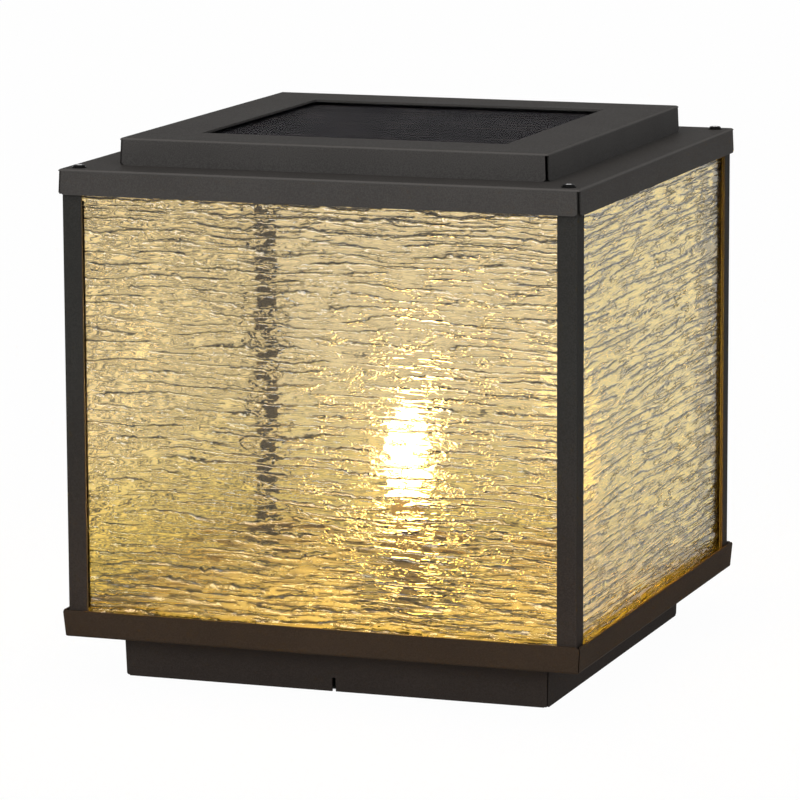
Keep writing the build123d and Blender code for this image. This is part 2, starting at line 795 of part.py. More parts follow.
# Connector: its socket is on the pigtail and its plug is on the lamp lead, face to face
socket_plane = Plane(origin=(lead_corner, socket_near_y, lead_top), x_dir=(1, 0, 0), z_dir=(0, 1, 0))
connector_face = socket_plane.offset(socket_length)
with BuildPart() as connector_socket:
    with BuildSketch(socket_plane):
        Circle(connector_radius)
    extrude(amount=socket_length)
    fillet(connector_socket.edges().sort_by(Axis.Y)[0], connector_key)
connector_socket.part.label = "connector_socket"
export_step(connector_socket.part, "parts/connector_socket.step")

with BuildPart() as connector_plug:
    with BuildSketch(connector_face):
        Circle(connector_radius - connector_key / 2)
    extrude(amount=plug_length)
    fillet(connector_plug.edges().sort_by(Axis.Y)[-1], connector_key)
connector_plug.part.label = "connector_plug"
export_step(connector_plug.part, "parts/connector_plug.step")

# Lamp lead: from the connector to the back right corner, down the post and across the floor to the holder
cup_exit = cup_radius / math.sqrt(2)
lamp_lead_start = (lead_corner, connector_far_y, lead_top)
lamp_lead_radii = [lead_bend, lead_foot_bend]
with BuildPart() as lamp_lead:
    with BuildLine() as lamp_lead_path:
        FilletPolyline(
            lamp_lead_start, (lead_corner, lead_corner, lead_top), (lead_corner, lead_corner, lead_low),
            (cup_exit, cup_exit, lead_low),
            radius=lamp_lead_radii,
        )
    with BuildSketch(Plane(origin=lamp_lead_start, x_dir=(1, 0, 0), z_dir=(0, 1, 0))):
        Circle(lead_radius)
    sweep(path=lamp_lead_path.wires()[0])
lamp_lead.part.label = "lamp_lead"
export_step(lamp_lead.part, "parts/lamp_lead.step")

# Switch lead: from the switch straight along the floor to the holder
switch_lead_level = base_floor + switch_lead_rise
switch_lead_length = switch_y - switch_tail_radius - cup_radius
with BuildPart() as switch_lead:
    with BuildSketch(Plane(origin=(0, cup_radius, switch_lead_level), x_dir=(1, 0, 0), z_dir=(0, 1, 0))):
        Circle(lead_radius)
    extrude(amount=switch_lead_length)
switch_lead.part.label = "switch_lead"
export_step(switch_lead.part, "parts/switch_lead.step")

lead_section = math.pi * lead_radius**2
for lead_name, lead, path, radii in (
    ("roof pigtail", roof_pigtail, pigtail_path, [lead_bend]),
    ("lamp lead", lamp_lead, lamp_lead_path, lamp_lead_radii),
):
    path_length = path.wires()[0].length
    share = lead.part.volume / (lead_section * path_length)
    print(f"{lead_name}: length {path_length:.1f}, radii {radii}, volume share {share:.4f}")

# Cable clips: two on the back right post, one under the roof and one each on the floor for the two leads
clip_outer = lead_radius + clip_clearance + clip_wall
clip_foot = pane_inner - retainer_sheet - lead_corner
clip_bore = lead_radius + clip_clearance
floor_clip_point = (clip_floor_reach, clip_floor_reach, lead_low)
floor_clip_plane = Plane(origin=floor_clip_point, x_dir=(1, -1, 0), z_dir=(1, 1, 0))
roof_clip_point = (lead_corner, connector_far_y + clip_roof_gap, lead_top)
roof_clip_plane = Plane(origin=roof_clip_point, x_dir=(1, 0, 0), z_dir=(0, 1, 0))
switch_clip_plane = Plane(origin=(0, clip_floor_reach, switch_lead_level), x_dir=(1, 0, 0), z_dir=(0, 1, 0))
with BuildPart() as cable_clips:
    for level in (base_floor + clip_rise, lead_top - clip_drop):
        with BuildSketch(Plane.XY.offset(level)):
            with Locations((lead_corner, lead_corner)):
                Circle(clip_outer)
                Rectangle(clip_foot, clip_foot, align=(Align.MIN, Align.MIN))
                Circle(clip_bore, mode=Mode.SUBTRACT)
        extrude(amount=clip_width)
    for plane, foot in (
        (floor_clip_plane, lead_low - base_floor),
        (roof_clip_plane, lead_top - roof_under),
        (switch_clip_plane, switch_lead_rise),
    ):
        towards_foot = -1 if plane.y_dir.Z * foot > 0 else 1
        foot_align = Align.MAX if towards_foot < 0 else Align.MIN
        with BuildSketch(plane):
            Circle(min(clip_outer, abs(foot)))
            Rectangle(2 * clip_outer, abs(foot), align=(Align.CENTER, foot_align))
            Circle(clip_bore, mode=Mode.SUBTRACT)
        extrude(amount=clip_width / 2, both=True)
cable_clips.part.label = "cable_clips"
export_step(cable_clips.part, "parts/cable_clips.step")

# Lamp holder base: a shallow cup screwed to the floor from below, with a hole for each lead
cup_top = base_floor + cup_height
socket_stub = socket_radius / 2
with BuildPart() as lamp_holder_base:
    with BuildSketch(Plane.XY.offset(base_floor)):
        Circle(cup_radius)
    extrude(amount=cup_height)
    fillet(lamp_holder_base.edges().sort_by(Axis.Z)[-1], cup_edge)
    with BuildSketch(Plane.XY.offset(base_floor)):
        Circle(cup_radius - cup_wall)
    extrude(amount=cup_height - cup_wall, mode=Mode.SUBTRACT)
    with BuildSketch(Plane.XY.offset(base_floor)):
        with Locations(*cup_screw_points):
            Circle(cup_boss_radius)
        with Locations(*cup_screw_points):
            Circle(m4_radius + thread_clearance, mode=Mode.SUBTRACT)
    extrude(amount=cup_height - cup_wall)
    with BuildSketch(Plane.XY.offset(cup_top)):
        Circle(socket_stub)
    extrude(amount=-cup_wall, mode=Mode.SUBTRACT)
lamp_holder_base.part.label = "lamp_holder_base"
export_step(lamp_holder_base.part, "parts/lamp_holder_base.step")

holder_screws = washer_head_screws(
    m4_radius, holder_screw_length, screw_planes(cup_screw_points, base_under, -1)
)
holder_screws.part.label = "holder_screws"
export_step(holder_screws.part, "parts/holder_screws.step")

# Lamp socket: a round holder for the bulb's screw cap
socket_top = cup_top + socket_height
with BuildPart() as lamp_socket:
    with BuildSketch(Plane.XY.offset(cup_top)):
        Circle(socket_radius)
    extrude(amount=socket_height)
    with BuildSketch(Plane.XY.offset(cup_top)):
        Circle(socket_flange_radius)
    extrude(amount=socket_flange_height)
    with BuildSketch(Plane.XY.offset(cup_top)):
        Circle(socket_stub - hole_clearance)
    extrude(amount=-cup_wall)
    fillet(lamp_socket.edges().sort_by(Axis.Z)[-1], socket_edge)
    with BuildSketch(Plane.XY.offset(socket_top)):
        Circle(screw_cap_radius + screw_cap_clearance)
    extrude(amount=socket_floor - socket_height, mode=Mode.SUBTRACT)
lamp_socket.part.label = "lamp_socket"
export_step(lamp_socket.part, "parts/lamp_socket.step")

# Bulb levels, from the housing down to the contact on the socket's floor
housing_bottom = socket_top + housing_gap
screw_cap_bottom = housing_bottom - screw_cap_height
bulb_contact_bottom = screw_cap_bottom - contact_height
with BuildPart() as socket_contact:
    with BuildSketch(Plane.XY.offset(cup_top + socket_floor)):
        Circle(contact_radius)
    extrude(amount=bulb_contact_bottom - cup_top - socket_floor)
socket_contact.part.label = "socket_contact"
export_step(socket_contact.part, "parts/socket_contact.step")

with BuildPart() as bulb_contact:
    with BuildSketch(Plane.XY.offset(bulb_contact_bottom)):
        Circle(contact_radius)
    extrude(amount=contact_height)
bulb_contact.part.label = "bulb_contact"
export_step(bulb_contact.part, "parts/bulb_contact.step")

# Bulb screw cap: a closed shell with rounded rings for its thread
thread_start = screw_cap_bottom + (screw_cap_height - thread_pitch * (thread_turns - 1)) / 2
with BuildPart() as bulb_screw_cap:
    with BuildSketch(Plane.XY.offset(screw_cap_bottom)):
        Circle(screw_cap_radius - thread_depth)
    extrude(amount=screw_cap_height)
    for n in range(thread_turns):
        with BuildSketch(Plane.XY.offset(thread_start + n * thread_pitch - thread_depth)):
            Circle(screw_cap_radius)
        extrude(amount=2 * thread_depth)
    with BuildSketch(Plane.XY.offset(housing_bottom)):
        Circle(screw_cap_radius - thread_depth - screw_cap_wall)
    extrude(amount=screw_cap_wall - screw_cap_height, mode=Mode.SUBTRACT)
bulb_screw_cap.part.label = "bulb_screw_cap"
export_step(bulb_screw_cap.part, "parts/bulb_screw_cap.step")

# Bulb housing: a cone between the screw cap and the envelope
housing_top = housing_bottom + housing_height
belly_level = housing_top + envelope_lower_height
lower_drop = envelope_lower_sweep - math.sqrt(envelope_lower_sweep**2 - envelope_lower_height**2)
neck_radius = envelope_radius - lower_drop
housing_radius = neck_radius + housing_shoulder
housing_floor = housing_bottom + housing_wall
housing_outline = [
    (0, housing_bottom), (housing_foot_radius, housing_bottom), (housing_radius, housing_top),
    (housing_radius - housing_wall, housing_top), (housing_foot_radius - housing_wall, housing_floor),
    (0, housing_floor),
]
with BuildPart() as bulb_housing:
    with BuildSketch(Plane.XZ):
        with BuildLine():
            Polyline(*housing_outline, close=True)
        make_face()
    revolve(axis=Axis.Z)
bulb_housing.part.label = "bulb_housing"
export_step(bulb_housing.part, "parts/bulb_housing.step")

# Light board: a round board with its chips, on the rim of the housing
with BuildPart() as bulb_light_board:
    with BuildSketch(Plane.XY.offset(housing_top)):
        Circle(neck_radius - envelope_wall - light_board_gap)
    extrude(amount=light_board_height)
    with BuildSketch(Plane.XY.offset(housing_top + light_board_height)):
        with PolarLocations(chip_ring, chip_count):
            Rectangle(chip_size, chip_size)
    extrude(amount=chip_height)
bulb_light_board.part.label = "bulb_light_board"
export_step(bulb_light_board.part, "parts/bulb_light_board.step")

# Bulb envelope: a candle shape of three arcs, each tangent to the next
upper_centre = (envelope_radius - envelope_upper_sweep, belly_level)
tip_reach = envelope_upper_sweep - envelope_tip_radius
tip_rise = math.sqrt(tip_reach**2 - upper_centre[0] ** 2)
tip_centre = (0, belly_level + tip_rise)
tip_angle = math.atan2(tip_rise, -upper_centre[0])


def candle_outline(inset):
    """The envelope's half outline, moved inwards by inset, from its neck to the axis above its tip."""
    lower_centre_x = envelope_radius - envelope_lower_sweep
    lower_sweep = envelope_lower_sweep - inset
    neck_x = lower_centre_x + math.sqrt(lower_sweep**2 - envelope_lower_height**2)
    half_height = envelope_lower_height / 2
    lower_mid = (lower_centre_x + math.sqrt(lower_sweep**2 - half_height**2), belly_level - half_height)
    upper_sweep = envelope_upper_sweep - inset
    upper_mid = (
        upper_centre[0] + upper_sweep * math.cos(tip_angle / 2),
        belly_level + upper_sweep * math.sin(tip_angle / 2),
    )
    upper_end = (
        upper_centre[0] + upper_sweep * math.cos(tip_angle),
        belly_level + upper_sweep * math.sin(tip_angle),
    )
    tip_sweep = envelope_tip_radius - inset
    tip_half = (tip_angle + math.pi / 2) / 2
    tip_mid = (tip_sweep * math.cos(tip_half), tip_centre[1] + tip_sweep * math.sin(tip_half))
    neck = (neck_x, housing_top)
    belly = (envelope_radius - inset, belly_level)
    tip = (0, tip_centre[1] + tip_sweep)
    return neck, lower_mid, belly, upper_mid, upper_end, tip_mid, tip


with BuildPart() as bulb_envelope:
    with BuildSketch(Plane.XZ):
        for inset, how in ((0, Mode.ADD), (envelope_wall, Mode.SUBTRACT)):
            neck, lower_mid, belly, upper_mid, upper_end, tip_mid, tip = candle_outline(inset)
            with BuildLine():
                ThreePointArc(neck, lower_mid, belly)
                ThreePointArc(belly, upper_mid, upper_end)
                ThreePointArc(upper_end, tip_mid, tip)
                Polyline(tip, (0, housing_top), neck)
            make_face(mode=how)
    revolve(axis=Axis.Z)
bulb_envelope.part.label = "bulb_envelope"
export_step(bulb_envelope.part, "parts/bulb_envelope.step")

# Push-button switch through the floor, under the overhang at the back
seal_under = base_under - switch_seal_height
flange_under = seal_under - switch_flange_height
nut_top = base_floor + switch_nut_height
button_bottom = flange_under - button_stand
button_top = button_bottom + button_length
chamber_top = button_top + button_travel + button_margin
with BuildPart() as switch_body:
    with BuildSketch(Plane.XY.offset(flange_under)):
        with Locations((0, switch_y)):
            Circle(switch_flange_radius)
    extrude(amount=switch_flange_height)
    with BuildSketch(Plane.XY.offset(flange_under)):
        with Locations((0, switch_y)):
            Circle(bush_radius)
    extrude(amount=nut_top - flange_under)
    with BuildSketch(Plane.XY.offset(nut_top)):
        with Locations((0, switch_y)):
            Circle(switch_tail_radius)
    extrude(amount=switch_tail_height)
    with BuildSketch(Plane.XY.offset(flange_under)):
        with Locations((0, switch_y)):
            Circle(button_radius + button_fit)
    extrude(amount=chamber_top - flange_under, mode=Mode.SUBTRACT)
switch_body.part.label = "switch_body"
export_step(switch_body.part, "parts/switch_body.step")

with BuildPart() as switch_seal:
    with BuildSketch(Plane.XY.offset(seal_under)):
        with Locations((0, switch_y)):
            Circle(switch_flange_radius)
            Circle(bush_radius + thread_clearance, mode=Mode.SUBTRACT)
    extrude(amount=switch_seal_height)
switch_seal.part.label = "switch_seal"
export_step(switch_seal.part, "parts/switch_seal.step")

with BuildPart() as switch_nut:
    with BuildSketch(Plane.XY.offset(base_floor)):
        with Locations((0, switch_y)):
            RegularPolygon(switch_flange_radius, 6)
            Circle(bush_radius + thread_clearance, mode=Mode.SUBTRACT)
    extrude(amount=switch_nut_height)
switch_nut.part.label = "switch_nut"
export_step(switch_nut.part, "parts/switch_nut.step")

with BuildPart() as switch_button:
    with BuildSketch(Plane.XY.offset(button_bottom)):
        with Locations((0, switch_y)):
            Circle(button_radius)
    extrude(amount=button_length)
    fillet(switch_button.edges().sort_by(Axis.Z)[0], button_edge)
switch_button.part.label = "switch_button"
export_step(switch_button.part, "parts/switch_button.step")
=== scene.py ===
import json
import math
from typing import NamedTuple

import bpy
from bpy.props import FloatProperty, FloatVectorProperty, IntProperty, PointerProperty
from mathutils import Matrix, Vector


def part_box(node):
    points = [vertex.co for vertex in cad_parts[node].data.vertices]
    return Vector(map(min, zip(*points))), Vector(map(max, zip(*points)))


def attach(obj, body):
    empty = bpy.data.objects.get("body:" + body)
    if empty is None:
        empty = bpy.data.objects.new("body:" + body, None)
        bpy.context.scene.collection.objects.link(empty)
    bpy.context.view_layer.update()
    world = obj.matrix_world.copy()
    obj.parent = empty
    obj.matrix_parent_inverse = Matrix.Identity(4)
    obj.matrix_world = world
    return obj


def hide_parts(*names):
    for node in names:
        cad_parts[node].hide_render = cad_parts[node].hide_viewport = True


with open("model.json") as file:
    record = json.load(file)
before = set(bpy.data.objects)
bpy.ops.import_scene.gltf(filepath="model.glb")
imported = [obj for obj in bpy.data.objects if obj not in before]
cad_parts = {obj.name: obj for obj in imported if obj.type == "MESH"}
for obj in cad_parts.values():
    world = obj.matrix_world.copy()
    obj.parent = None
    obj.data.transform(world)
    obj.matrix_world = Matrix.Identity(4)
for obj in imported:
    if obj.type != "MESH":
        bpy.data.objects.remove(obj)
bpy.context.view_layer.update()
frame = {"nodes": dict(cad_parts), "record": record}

bl_info = {
    "name": "Solar pillar lantern",
    "version": (1, 0, 0),
    "blender": (4, 5, 0),
    "location": "View3D > Sidebar > Lantern",
    "description": "Ripple glass, powder coat, solar cells and warm bulb of a square solar lantern",
    "category": "Object",
}

SLOT_OF = {part["node"]: part["material_slot"] for part in frame["record"]["subparts"]}
SIDES = {
    "front": (Vector((0, -1, 0)), 0.0),
    "right": (Vector((1, 0, 0)), 90.0),
    "back": (Vector((0, 1, 0)), 180.0),
    "left": (Vector((-1, 0, 0)), 270.0),
}

# The studio
SENSOR_WIDTH = 36
FLOOR_SIZE = 60
LAMPS = {  # tilt and turn in degrees, spread in degrees, colour
    "front": ((72, -10), 30, (0.985, 0.99, 1.0)),
    "side": ((70, 60), 40, (0.96, 0.98, 1.0)),
    "top": ((25, -30), 40, (1.0, 0.74, 0.48)),
}

# Glass. The sizes of noises are the length and height of their blots, in millimetres.
GLASS_IOR = 1.46
COVER_IOR = 1.003
COVER_TINT = (0.86, 0.86, 0.88)
PANE_INNER_FACE = 0.1435
EDGE_FADE = 0.004
MILLIMETRE = 0.001
SIDE_RIPPLE_LENGTH = 1.4
SIDE_RIPPLE_HEIGHT = 0.8
BEND_SIZE = (60, 17)
JAG_SIZE = (5, 4)
SLOW_WAVE_SIZE = (50, 8)
DEEP_WAVE_SIZE = (26, 3.4)
PATCH_SIZE = (15, 6)
CURL_SIZE = (4.2, 2.4)
LINE_STEP = 5.37
# Heights over which a pane's painted golden glow fades out upwards.
LOW_PAINTED_GLOW_HEIGHTS = (0.045, 0.15)
DEEP_WAVE_HEIGHTS = (0.055, 0.110)
# Heights over which the painted dark tangles fade out upwards.
TANGLE_PAINTED_SHADE_HEIGHTS = (0.080, 0.135)

# Metalwork
# Heights over which the painted shade and glow at the foot fade into the upper tone.
FOOT_GLOW_AND_SHADE_HEIGHTS = (0.03, 0.20)
TRAY_FLOOR = 0.0272
HEAD_RADIUS = 0.0041
RECESS_RADIUS = 0.0017
TRAY_HALF_WIDTH = 0.150
# Painted shade: the inner faces of the posts are painted darker, as if unlit by the bulb.
POST_PAINTED_SHADE_INSIDE = 0.27
# Painted shade: the pane retainers are painted dark, as if unlit by the bulb.
RETAINER_PAINTED_SHADE = (0.25, 0.25, 0.25)
CLOUD_SCALE = 22.0

# Moulded finishes: name, dark and light colour, roughness, grains per metre, height of the grains
MOULDED = {
    "panel_board": ("Panel laminate", (0.014, 0.013, 0.015), (0.022, 0.021, 0.024), 0.45, 500, 0.00003),
    # Painted glow: the bulb housing is painted golden brown, standing in for the bulb's light on it.
    "bulb_housing": ("Bulb housing", (0.20, 0.155, 0.090), (0.28, 0.218, 0.130), 0.45, 700, 0.00003),
    "light_board": ("Light board", (0.74, 0.72, 0.63), (0.84, 0.82, 0.74), 0.50, 900, 0.00003),
    # Painted glow: the socket is painted brown, standing in for the bulb's light on it.
    "socket_moulding": ("Socket moulding", (0.090, 0.072, 0.044), (0.130, 0.104, 0.066), 0.45, 900, 0.00003),
    "seal_rubber": ("Seal rubber", (0.010, 0.010, 0.010), (0.022, 0.021, 0.020), 0.70, 1200, 0.00003),
    "black_plastic": ("Black moulding", (0.014, 0.014, 0.014), (0.026, 0.026, 0.026), 0.50, 1100, 0.00003),
    "cell_wrap": ("Cell wrap", (0.02, 0.12, 0.25), (0.03, 0.17, 0.34), 0.26, 300, 0.00001),
    "cell_foam": ("Cell foam", (0.05, 0.05, 0.05), (0.11, 0.11, 0.11), 0.85, 1500, 0.0002),
    "circuit_board": ("Circuit board", (0.012, 0.09, 0.035), (0.03, 0.16, 0.07), 0.36, 400, 0.00002),
    "components": ("Component bodies", (0.015, 0.015, 0.016), (0.035, 0.035, 0.036), 0.45, 900, 0.00003),
    "cable_jacket": ("Cable jacket", (0.012, 0.012, 0.012), (0.024, 0.024, 0.024), 0.48, 900, 0.00003),
    "button_cap": ("Button cap", (0.26, 0.010, 0.010), (0.38, 0.020, 0.020), 0.30, 600, 0.00003),
}

# Plated finishes: name, dark and light colour, roughness, drawn lines per metre
PLATED = {
    "nickel": ("Nickel plate", (0.52, 0.50, 0.45), (0.66, 0.64, 0.59), 0.28, 900),
    "zinc_steel": ("Zinc plate", (0.44, 0.45, 0.48), (0.60, 0.61, 0.63), 0.34, 800),
}


class Lines(NamedTuple):
    """A set of wavy lines on a pane."""

    wander: float  # how far a line bends, in spaces between lines
    reach: float  # length of the stretches in which a line shows or is missing, in millimetres
    shift: int  # sets its noise apart from the other sets'


GROOVES = Lines(1.7, 36, 0)
FINE_LINES = Lines(2.6, 12, 7)
TANGLE = Lines(3.2, 10, 13)


class CoatSettings(bpy.types.PropertyGroup):
    """The powder coat on the sheet metal."""

    colour: FloatVectorProperty(
        name="Coat colour", description="Dark grey of the powder coat", subtype="COLOR", size=3, min=0, max=1,
        default=(0.038, 0.0363, 0.0350))
    fleck_colour: FloatVectorProperty(
        name="Fleck colour", description="Lighter grains in the powder coat", subtype="COLOR", size=3, min=0, max=1,
        default=(0.052, 0.0497, 0.0478))
    # Painted shade: the posts are painted darker than the roof and the cap, as if shaded.
    post_painted_shade: FloatVectorProperty(
        name="Post tone", description="Tone of the posts under the roof, beside the roof's", subtype="COLOR",
        size=3, min=0, max=1, default=(0.54, 0.56, 0.55))
    # Painted shade and painted glow: the posts' feet and the plinth are painted darker and browner, standing in for
    # the shade under the overhang and the bulb's warm light thrown back from the floor.
    foot_glow_and_shade: FloatVectorProperty(
        name="Foot tone", description="Tone of the posts' feet and the plinth, which dust has browned",
        subtype="COLOR", size=3, min=0, max=1, default=(0.60, 0.51, 0.46))
    # Painted glow: the base tray's rim is painted browner and warmer, standing in for the bulb's golden light on
    # it.
    rim_painted_glow: FloatVectorProperty(
        name="Rim tone", description="Tone of the base tray's rim, browned most", subtype="COLOR", size=3,
        min=0, max=1, default=(0.66, 0.49, 0.36))
    # Painted light: the tray's floor inside the lantern is painted paler, standing in for the bulb's light on it.
    tray_floor_painted_light: FloatProperty(
        name="Floor shade", description="Paleness of the tray's floor inside the lantern, beside the flecks",
        default=3.1, min=0)
    sheen: FloatProperty(
        name="Sheen", description="Strength of the coat's reflections", default=0.005, min=0, max=1)
    grain: FloatProperty(
        name="Grain size", description="Width of one grain of the coat", subtype="DISTANCE", unit="LENGTH",
        default=0.0006)
    grain_height: FloatProperty(
        name="Grain height", description="How far the grains stand up", subtype="DISTANCE", unit="LENGTH",
        default=0.00003)


class GlassSettings(bpy.types.PropertyGroup):
    """The ripple glass of the four panes."""

    # The four tints are painted glow: the bulb's warm light in the glass is painted into each pane's colour, warmer
    # or paler pane by pane as the light falls on its side.
    front_tint: FloatVectorProperty(
        name="Front tint", description="Colour of the glass in the front pane", subtype="COLOR",
        size=3, min=0, max=1, default=(0.985, 0.845, 0.570))
    right_tint: FloatVectorProperty(
        name="Right tint", description="Colour of the glass in the right pane", subtype="COLOR",
        size=3, min=0, max=1, default=(0.990, 0.800, 0.260))
    back_tint: FloatVectorProperty(
        name="Back tint", description="Colour of the glass in the back pane", subtype="COLOR",
        size=3, min=0, max=1, default=(0.780, 0.710, 0.540))
    left_tint: FloatVectorProperty(
        name="Left tint", description="Colour of the glass in the left pane", subtype="COLOR",
        size=3, min=0, max=1, default=(0.930, 0.830, 0.560))
    # Painted glow: near its lower edge a pane is painted more golden, standing in for the bulb-lit tray floor seen
    # through it.
    low_tint: FloatVectorProperty(
        name="Low tint", description="What is added to a pane's colour near its lower edge", subtype="COLOR",
        size=3, min=0, max=1, default=(1.0, 0.97, 0.56))
    # Painted shade: the grooves are painted dark, standing in for the dark that their refraction shows.
    line_tint: FloatVectorProperty(
        name="Line tint", description="Colour of the glass in the middle of a groove", subtype="COLOR",
        size=3, min=0, max=1, default=(0.010, 0.008, 0.006))
    # Painted shade: dark tangled lines are painted near a pane's lower edge, standing in for the dark of its
    # refraction.
    tangle_tint: FloatVectorProperty(
        name="Tangle tint", description="Colour of the glass in the tangled lines near its lower edge",
        subtype="COLOR", size=3, min=0, max=1, default=(0.036, 0.021, 0.007))
    groove_pitch: FloatProperty(
        name="Groove pitch", description="Height from one groove to the next, in millimetres", default=6.0, min=1)
    shoulder_width: FloatProperty(
        name="Shoulder width", description="Half the width of a groove's rounded shoulders, in millimetres",
        default=0.85, min=0.1)
    shoulder_depth: FloatProperty(
        name="Shoulder depth", description="How far the shoulders sink, in millimetres", default=0.28, min=0)
    groove_width: FloatProperty(
        name="Groove width", description="Half the width of a groove's sharp middle, in millimetres",
        default=0.50, min=0.1)
    groove_depth: FloatProperty(
        name="Groove depth", description="How far the sharp middle sinks, in millimetres", default=0.28, min=0)
    fine_pitch: FloatProperty(
        name="Fine pitch", description="Height from one fine line to the next, in millimetres", default=3.1, min=1)
    fine_width: FloatProperty(
        name="Fine width", description="Half the width of a fine line, in millimetres", default=0.30, min=0.1)
    tangle_pitch: FloatProperty(
        name="Tangle pitch", description="Height from one tangled line to the next, in millimetres",
        default=4.4, min=1)
    tangle_width: FloatProperty(
        name="Tangle width", description="Half the width of a tangled line, in millimetres",
        default=0.80, min=0.1)
    curl_height: FloatProperty(
        name="Curl height", description="Height of the small curls between the grooves, in millimetres",
        default=0.20, min=0)
    swell: FloatProperty(
        name="Swell", description="Height of the slow waves between the grooves, in millimetres",
        default=0.32, min=0)
    low_swell: FloatProperty(
        name="Low swell", description="Height of the deeper waves near the lower edge, in millimetres",
        default=1.1, min=0)
    columns: IntProperty(
        name="Columns", description="Steps along a pane", default=172, min=8, max=400)
    rows: IntProperty(
        name="Rows", description="Steps up a pane", default=548, min=8, max=800)


class PanelSettings(bpy.types.PropertyGroup):
    """The solar panel in the cap."""

    rows: IntProperty(
        name="Rows of cells", description="Strips of cell from the front to the back", default=8, min=1)
    proud: FloatProperty(
        name="Proud", description="How far the collector bars stand out of a cell", subtype="DISTANCE",
        unit="LENGTH", default=0.00008)
    gap: FloatProperty(
        name="Gap", description="Gap between two strips", subtype="DISTANCE", unit="LENGTH", default=0.0008)
    cell_colour: FloatVectorProperty(
        name="Cell colour", description="Near black of the cells", subtype="COLOR", size=3, min=0, max=1,
        default=(0.0085, 0.0082, 0.0088))
    bar_colour: FloatVectorProperty(
        name="Bar colour", description="Dull silver of the collector bars", subtype="COLOR", size=3, min=0, max=1,
        default=(0.075, 0.066, 0.060))
    bar_width: FloatProperty(
        name="Bar width", description="Width of one collector bar", subtype="DISTANCE", unit="LENGTH",
        default=0.0005)
    bars: IntProperty(
        name="Bars per cell", description="Collector bars along each cell", default=2, min=1, max=6)


class BulbSettings(bpy.types.PropertyGroup):
    """The lit bulb."""

    glow_colour: FloatVectorProperty(
        name="Glow colour", description="Warm white of the lit bulb", subtype="COLOR", size=3, min=0, max=1,
        default=(1.0, 0.72, 0.24))
    glow: FloatProperty(
        name="Glow", description="Brightness of the lit bulb", default=470.0, min=0)


class StageSettings(bpy.types.PropertyGroup):
    """The camera, the floor and the lamps of the studio."""

    camera_place: FloatVectorProperty(
        name="Camera place", description="Where the camera stands", subtype="TRANSLATION", unit="LENGTH", size=3,
        default=(0.90018, -2.53008, 0.60831))
    lens: FloatProperty(
        name="Lens", description="Focal length on a 36 mm sensor, in millimetres", default=214.09, min=1)
    yaw: FloatProperty(
        name="Yaw", description="How far the camera turns to the left", subtype="ANGLE", unit="ROTATION",
        default=math.radians(19.683))
    pitch: FloatProperty(
        name="Pitch", description="How far the camera looks up", subtype="ANGLE", unit="ROTATION",
        default=math.radians(-9.824))
    roll: FloatProperty(
        name="Roll", description="How far the camera tips over", subtype="ANGLE", unit="ROTATION",
        default=math.radians(-0.249))
    ambient: FloatProperty(
        name="Ambient light", description="Light that comes evenly from all round", default=0.55, min=0)
    front: FloatProperty(
        name="Front light", description="Strength of the soft light from the front", default=1.75, min=0)
    side: FloatProperty(
        name="Side light", description="Strength of the soft light from the right", default=1.12, min=0)
    top: FloatProperty(
        name="Top light", description="Strength of the soft light from above", default=0.4, min=0)
    floor_colour: FloatProperty(
        name="Floor colour", description="Paleness of the floor", default=0.72, min=0, max=1)
    floor_white: FloatProperty(
        name="Floor white", description="How far the floor shows plain white where it is seen directly",
        default=0.975, min=0, max=1)


class Pattern:
    """Adds value nodes to a node tree, so that a pattern can be written as sums of its inputs."""

    def __init__(self, tree):
        self.tree = tree
        self.column = 0

    def node(self, kind, **values):
        made = self.tree.nodes.new(kind)
        self.column += 1
        made.location = (-1400 + 160 * (self.column % 9), 300 - 180 * (self.column // 9))
        for name, value in values.items():
            setattr(made, name, value)
        return made

    def feed(self, socket, value):
        if isinstance(value, bpy.types.NodeSocket):
            self.tree.links.new(value, socket)
        else:
            socket.default_value = value

    def math(self, operation, a, b=0.0, c=0.0):
        made = self.node("ShaderNodeMath", operation=operation)
        for socket, value in zip(made.inputs, (a, b, c)):
            self.feed(socket, value)
        return made.outputs[0]

    def add(self, a, b):
        return self.math("ADD", a, b)

    def times(self, a, b):
        return self.math("MULTIPLY", a, b)

    def point(self, x, y, z=0.0):
        made = self.node("ShaderNodeCombineXYZ")
        for socket, value in zip(made.inputs, (x, y, z)):
            self.feed(socket, value)
        return made.outputs[0]

    def split(self, vector):
        made = self.node("ShaderNodeSeparateXYZ")
        self.feed(made.inputs[0], vector)
        return made.outputs

    def noise(self, vector, scale=1.0, detail=1.0, roughness=0.5, flat=True):
        made = self.node("ShaderNodeTexNoise", noise_dimensions="2D" if flat else "3D")
        self.feed(made.inputs["Vector"], vector)
        made.inputs["Scale"].default_value = scale
        made.inputs["Detail"].default_value = detail
        made.inputs["Roughness"].default_value = roughness
        return made.outputs[0]

    def ramp(self, value, low, high, to_low=0.0, to_high=1.0):
        made = self.node("ShaderNodeMapRange", interpolation_type="SMOOTHSTEP")
        for name, given in (("Value", value), ("From Min", low), ("From Max", high),
                            ("To Min", to_low), ("To Max", to_high)):
            self.feed(made.inputs[name], given)
        return made.outputs[0]

    def blend(self, factor, a, b):
        made = self.node("ShaderNodeMix", data_type="RGBA")
        self.feed(made.inputs["Factor"], factor)
        for socket, value in ((made.inputs[6], a), (made.inputs[7], b)):
            self.feed(socket, (*value, 1.0) if not isinstance(value, bpy.types.NodeSocket) else value)
        return made.outputs[2]

    def tinted(self, colour, tone):
        made = self.node("ShaderNodeMix", data_type="RGBA", blend_type="MULTIPLY")
        made.inputs["Factor"].default_value = 1.0
        self.feed(made.inputs[6], colour)
        self.feed(made.inputs[7], tone)
        return made.outputs[2]


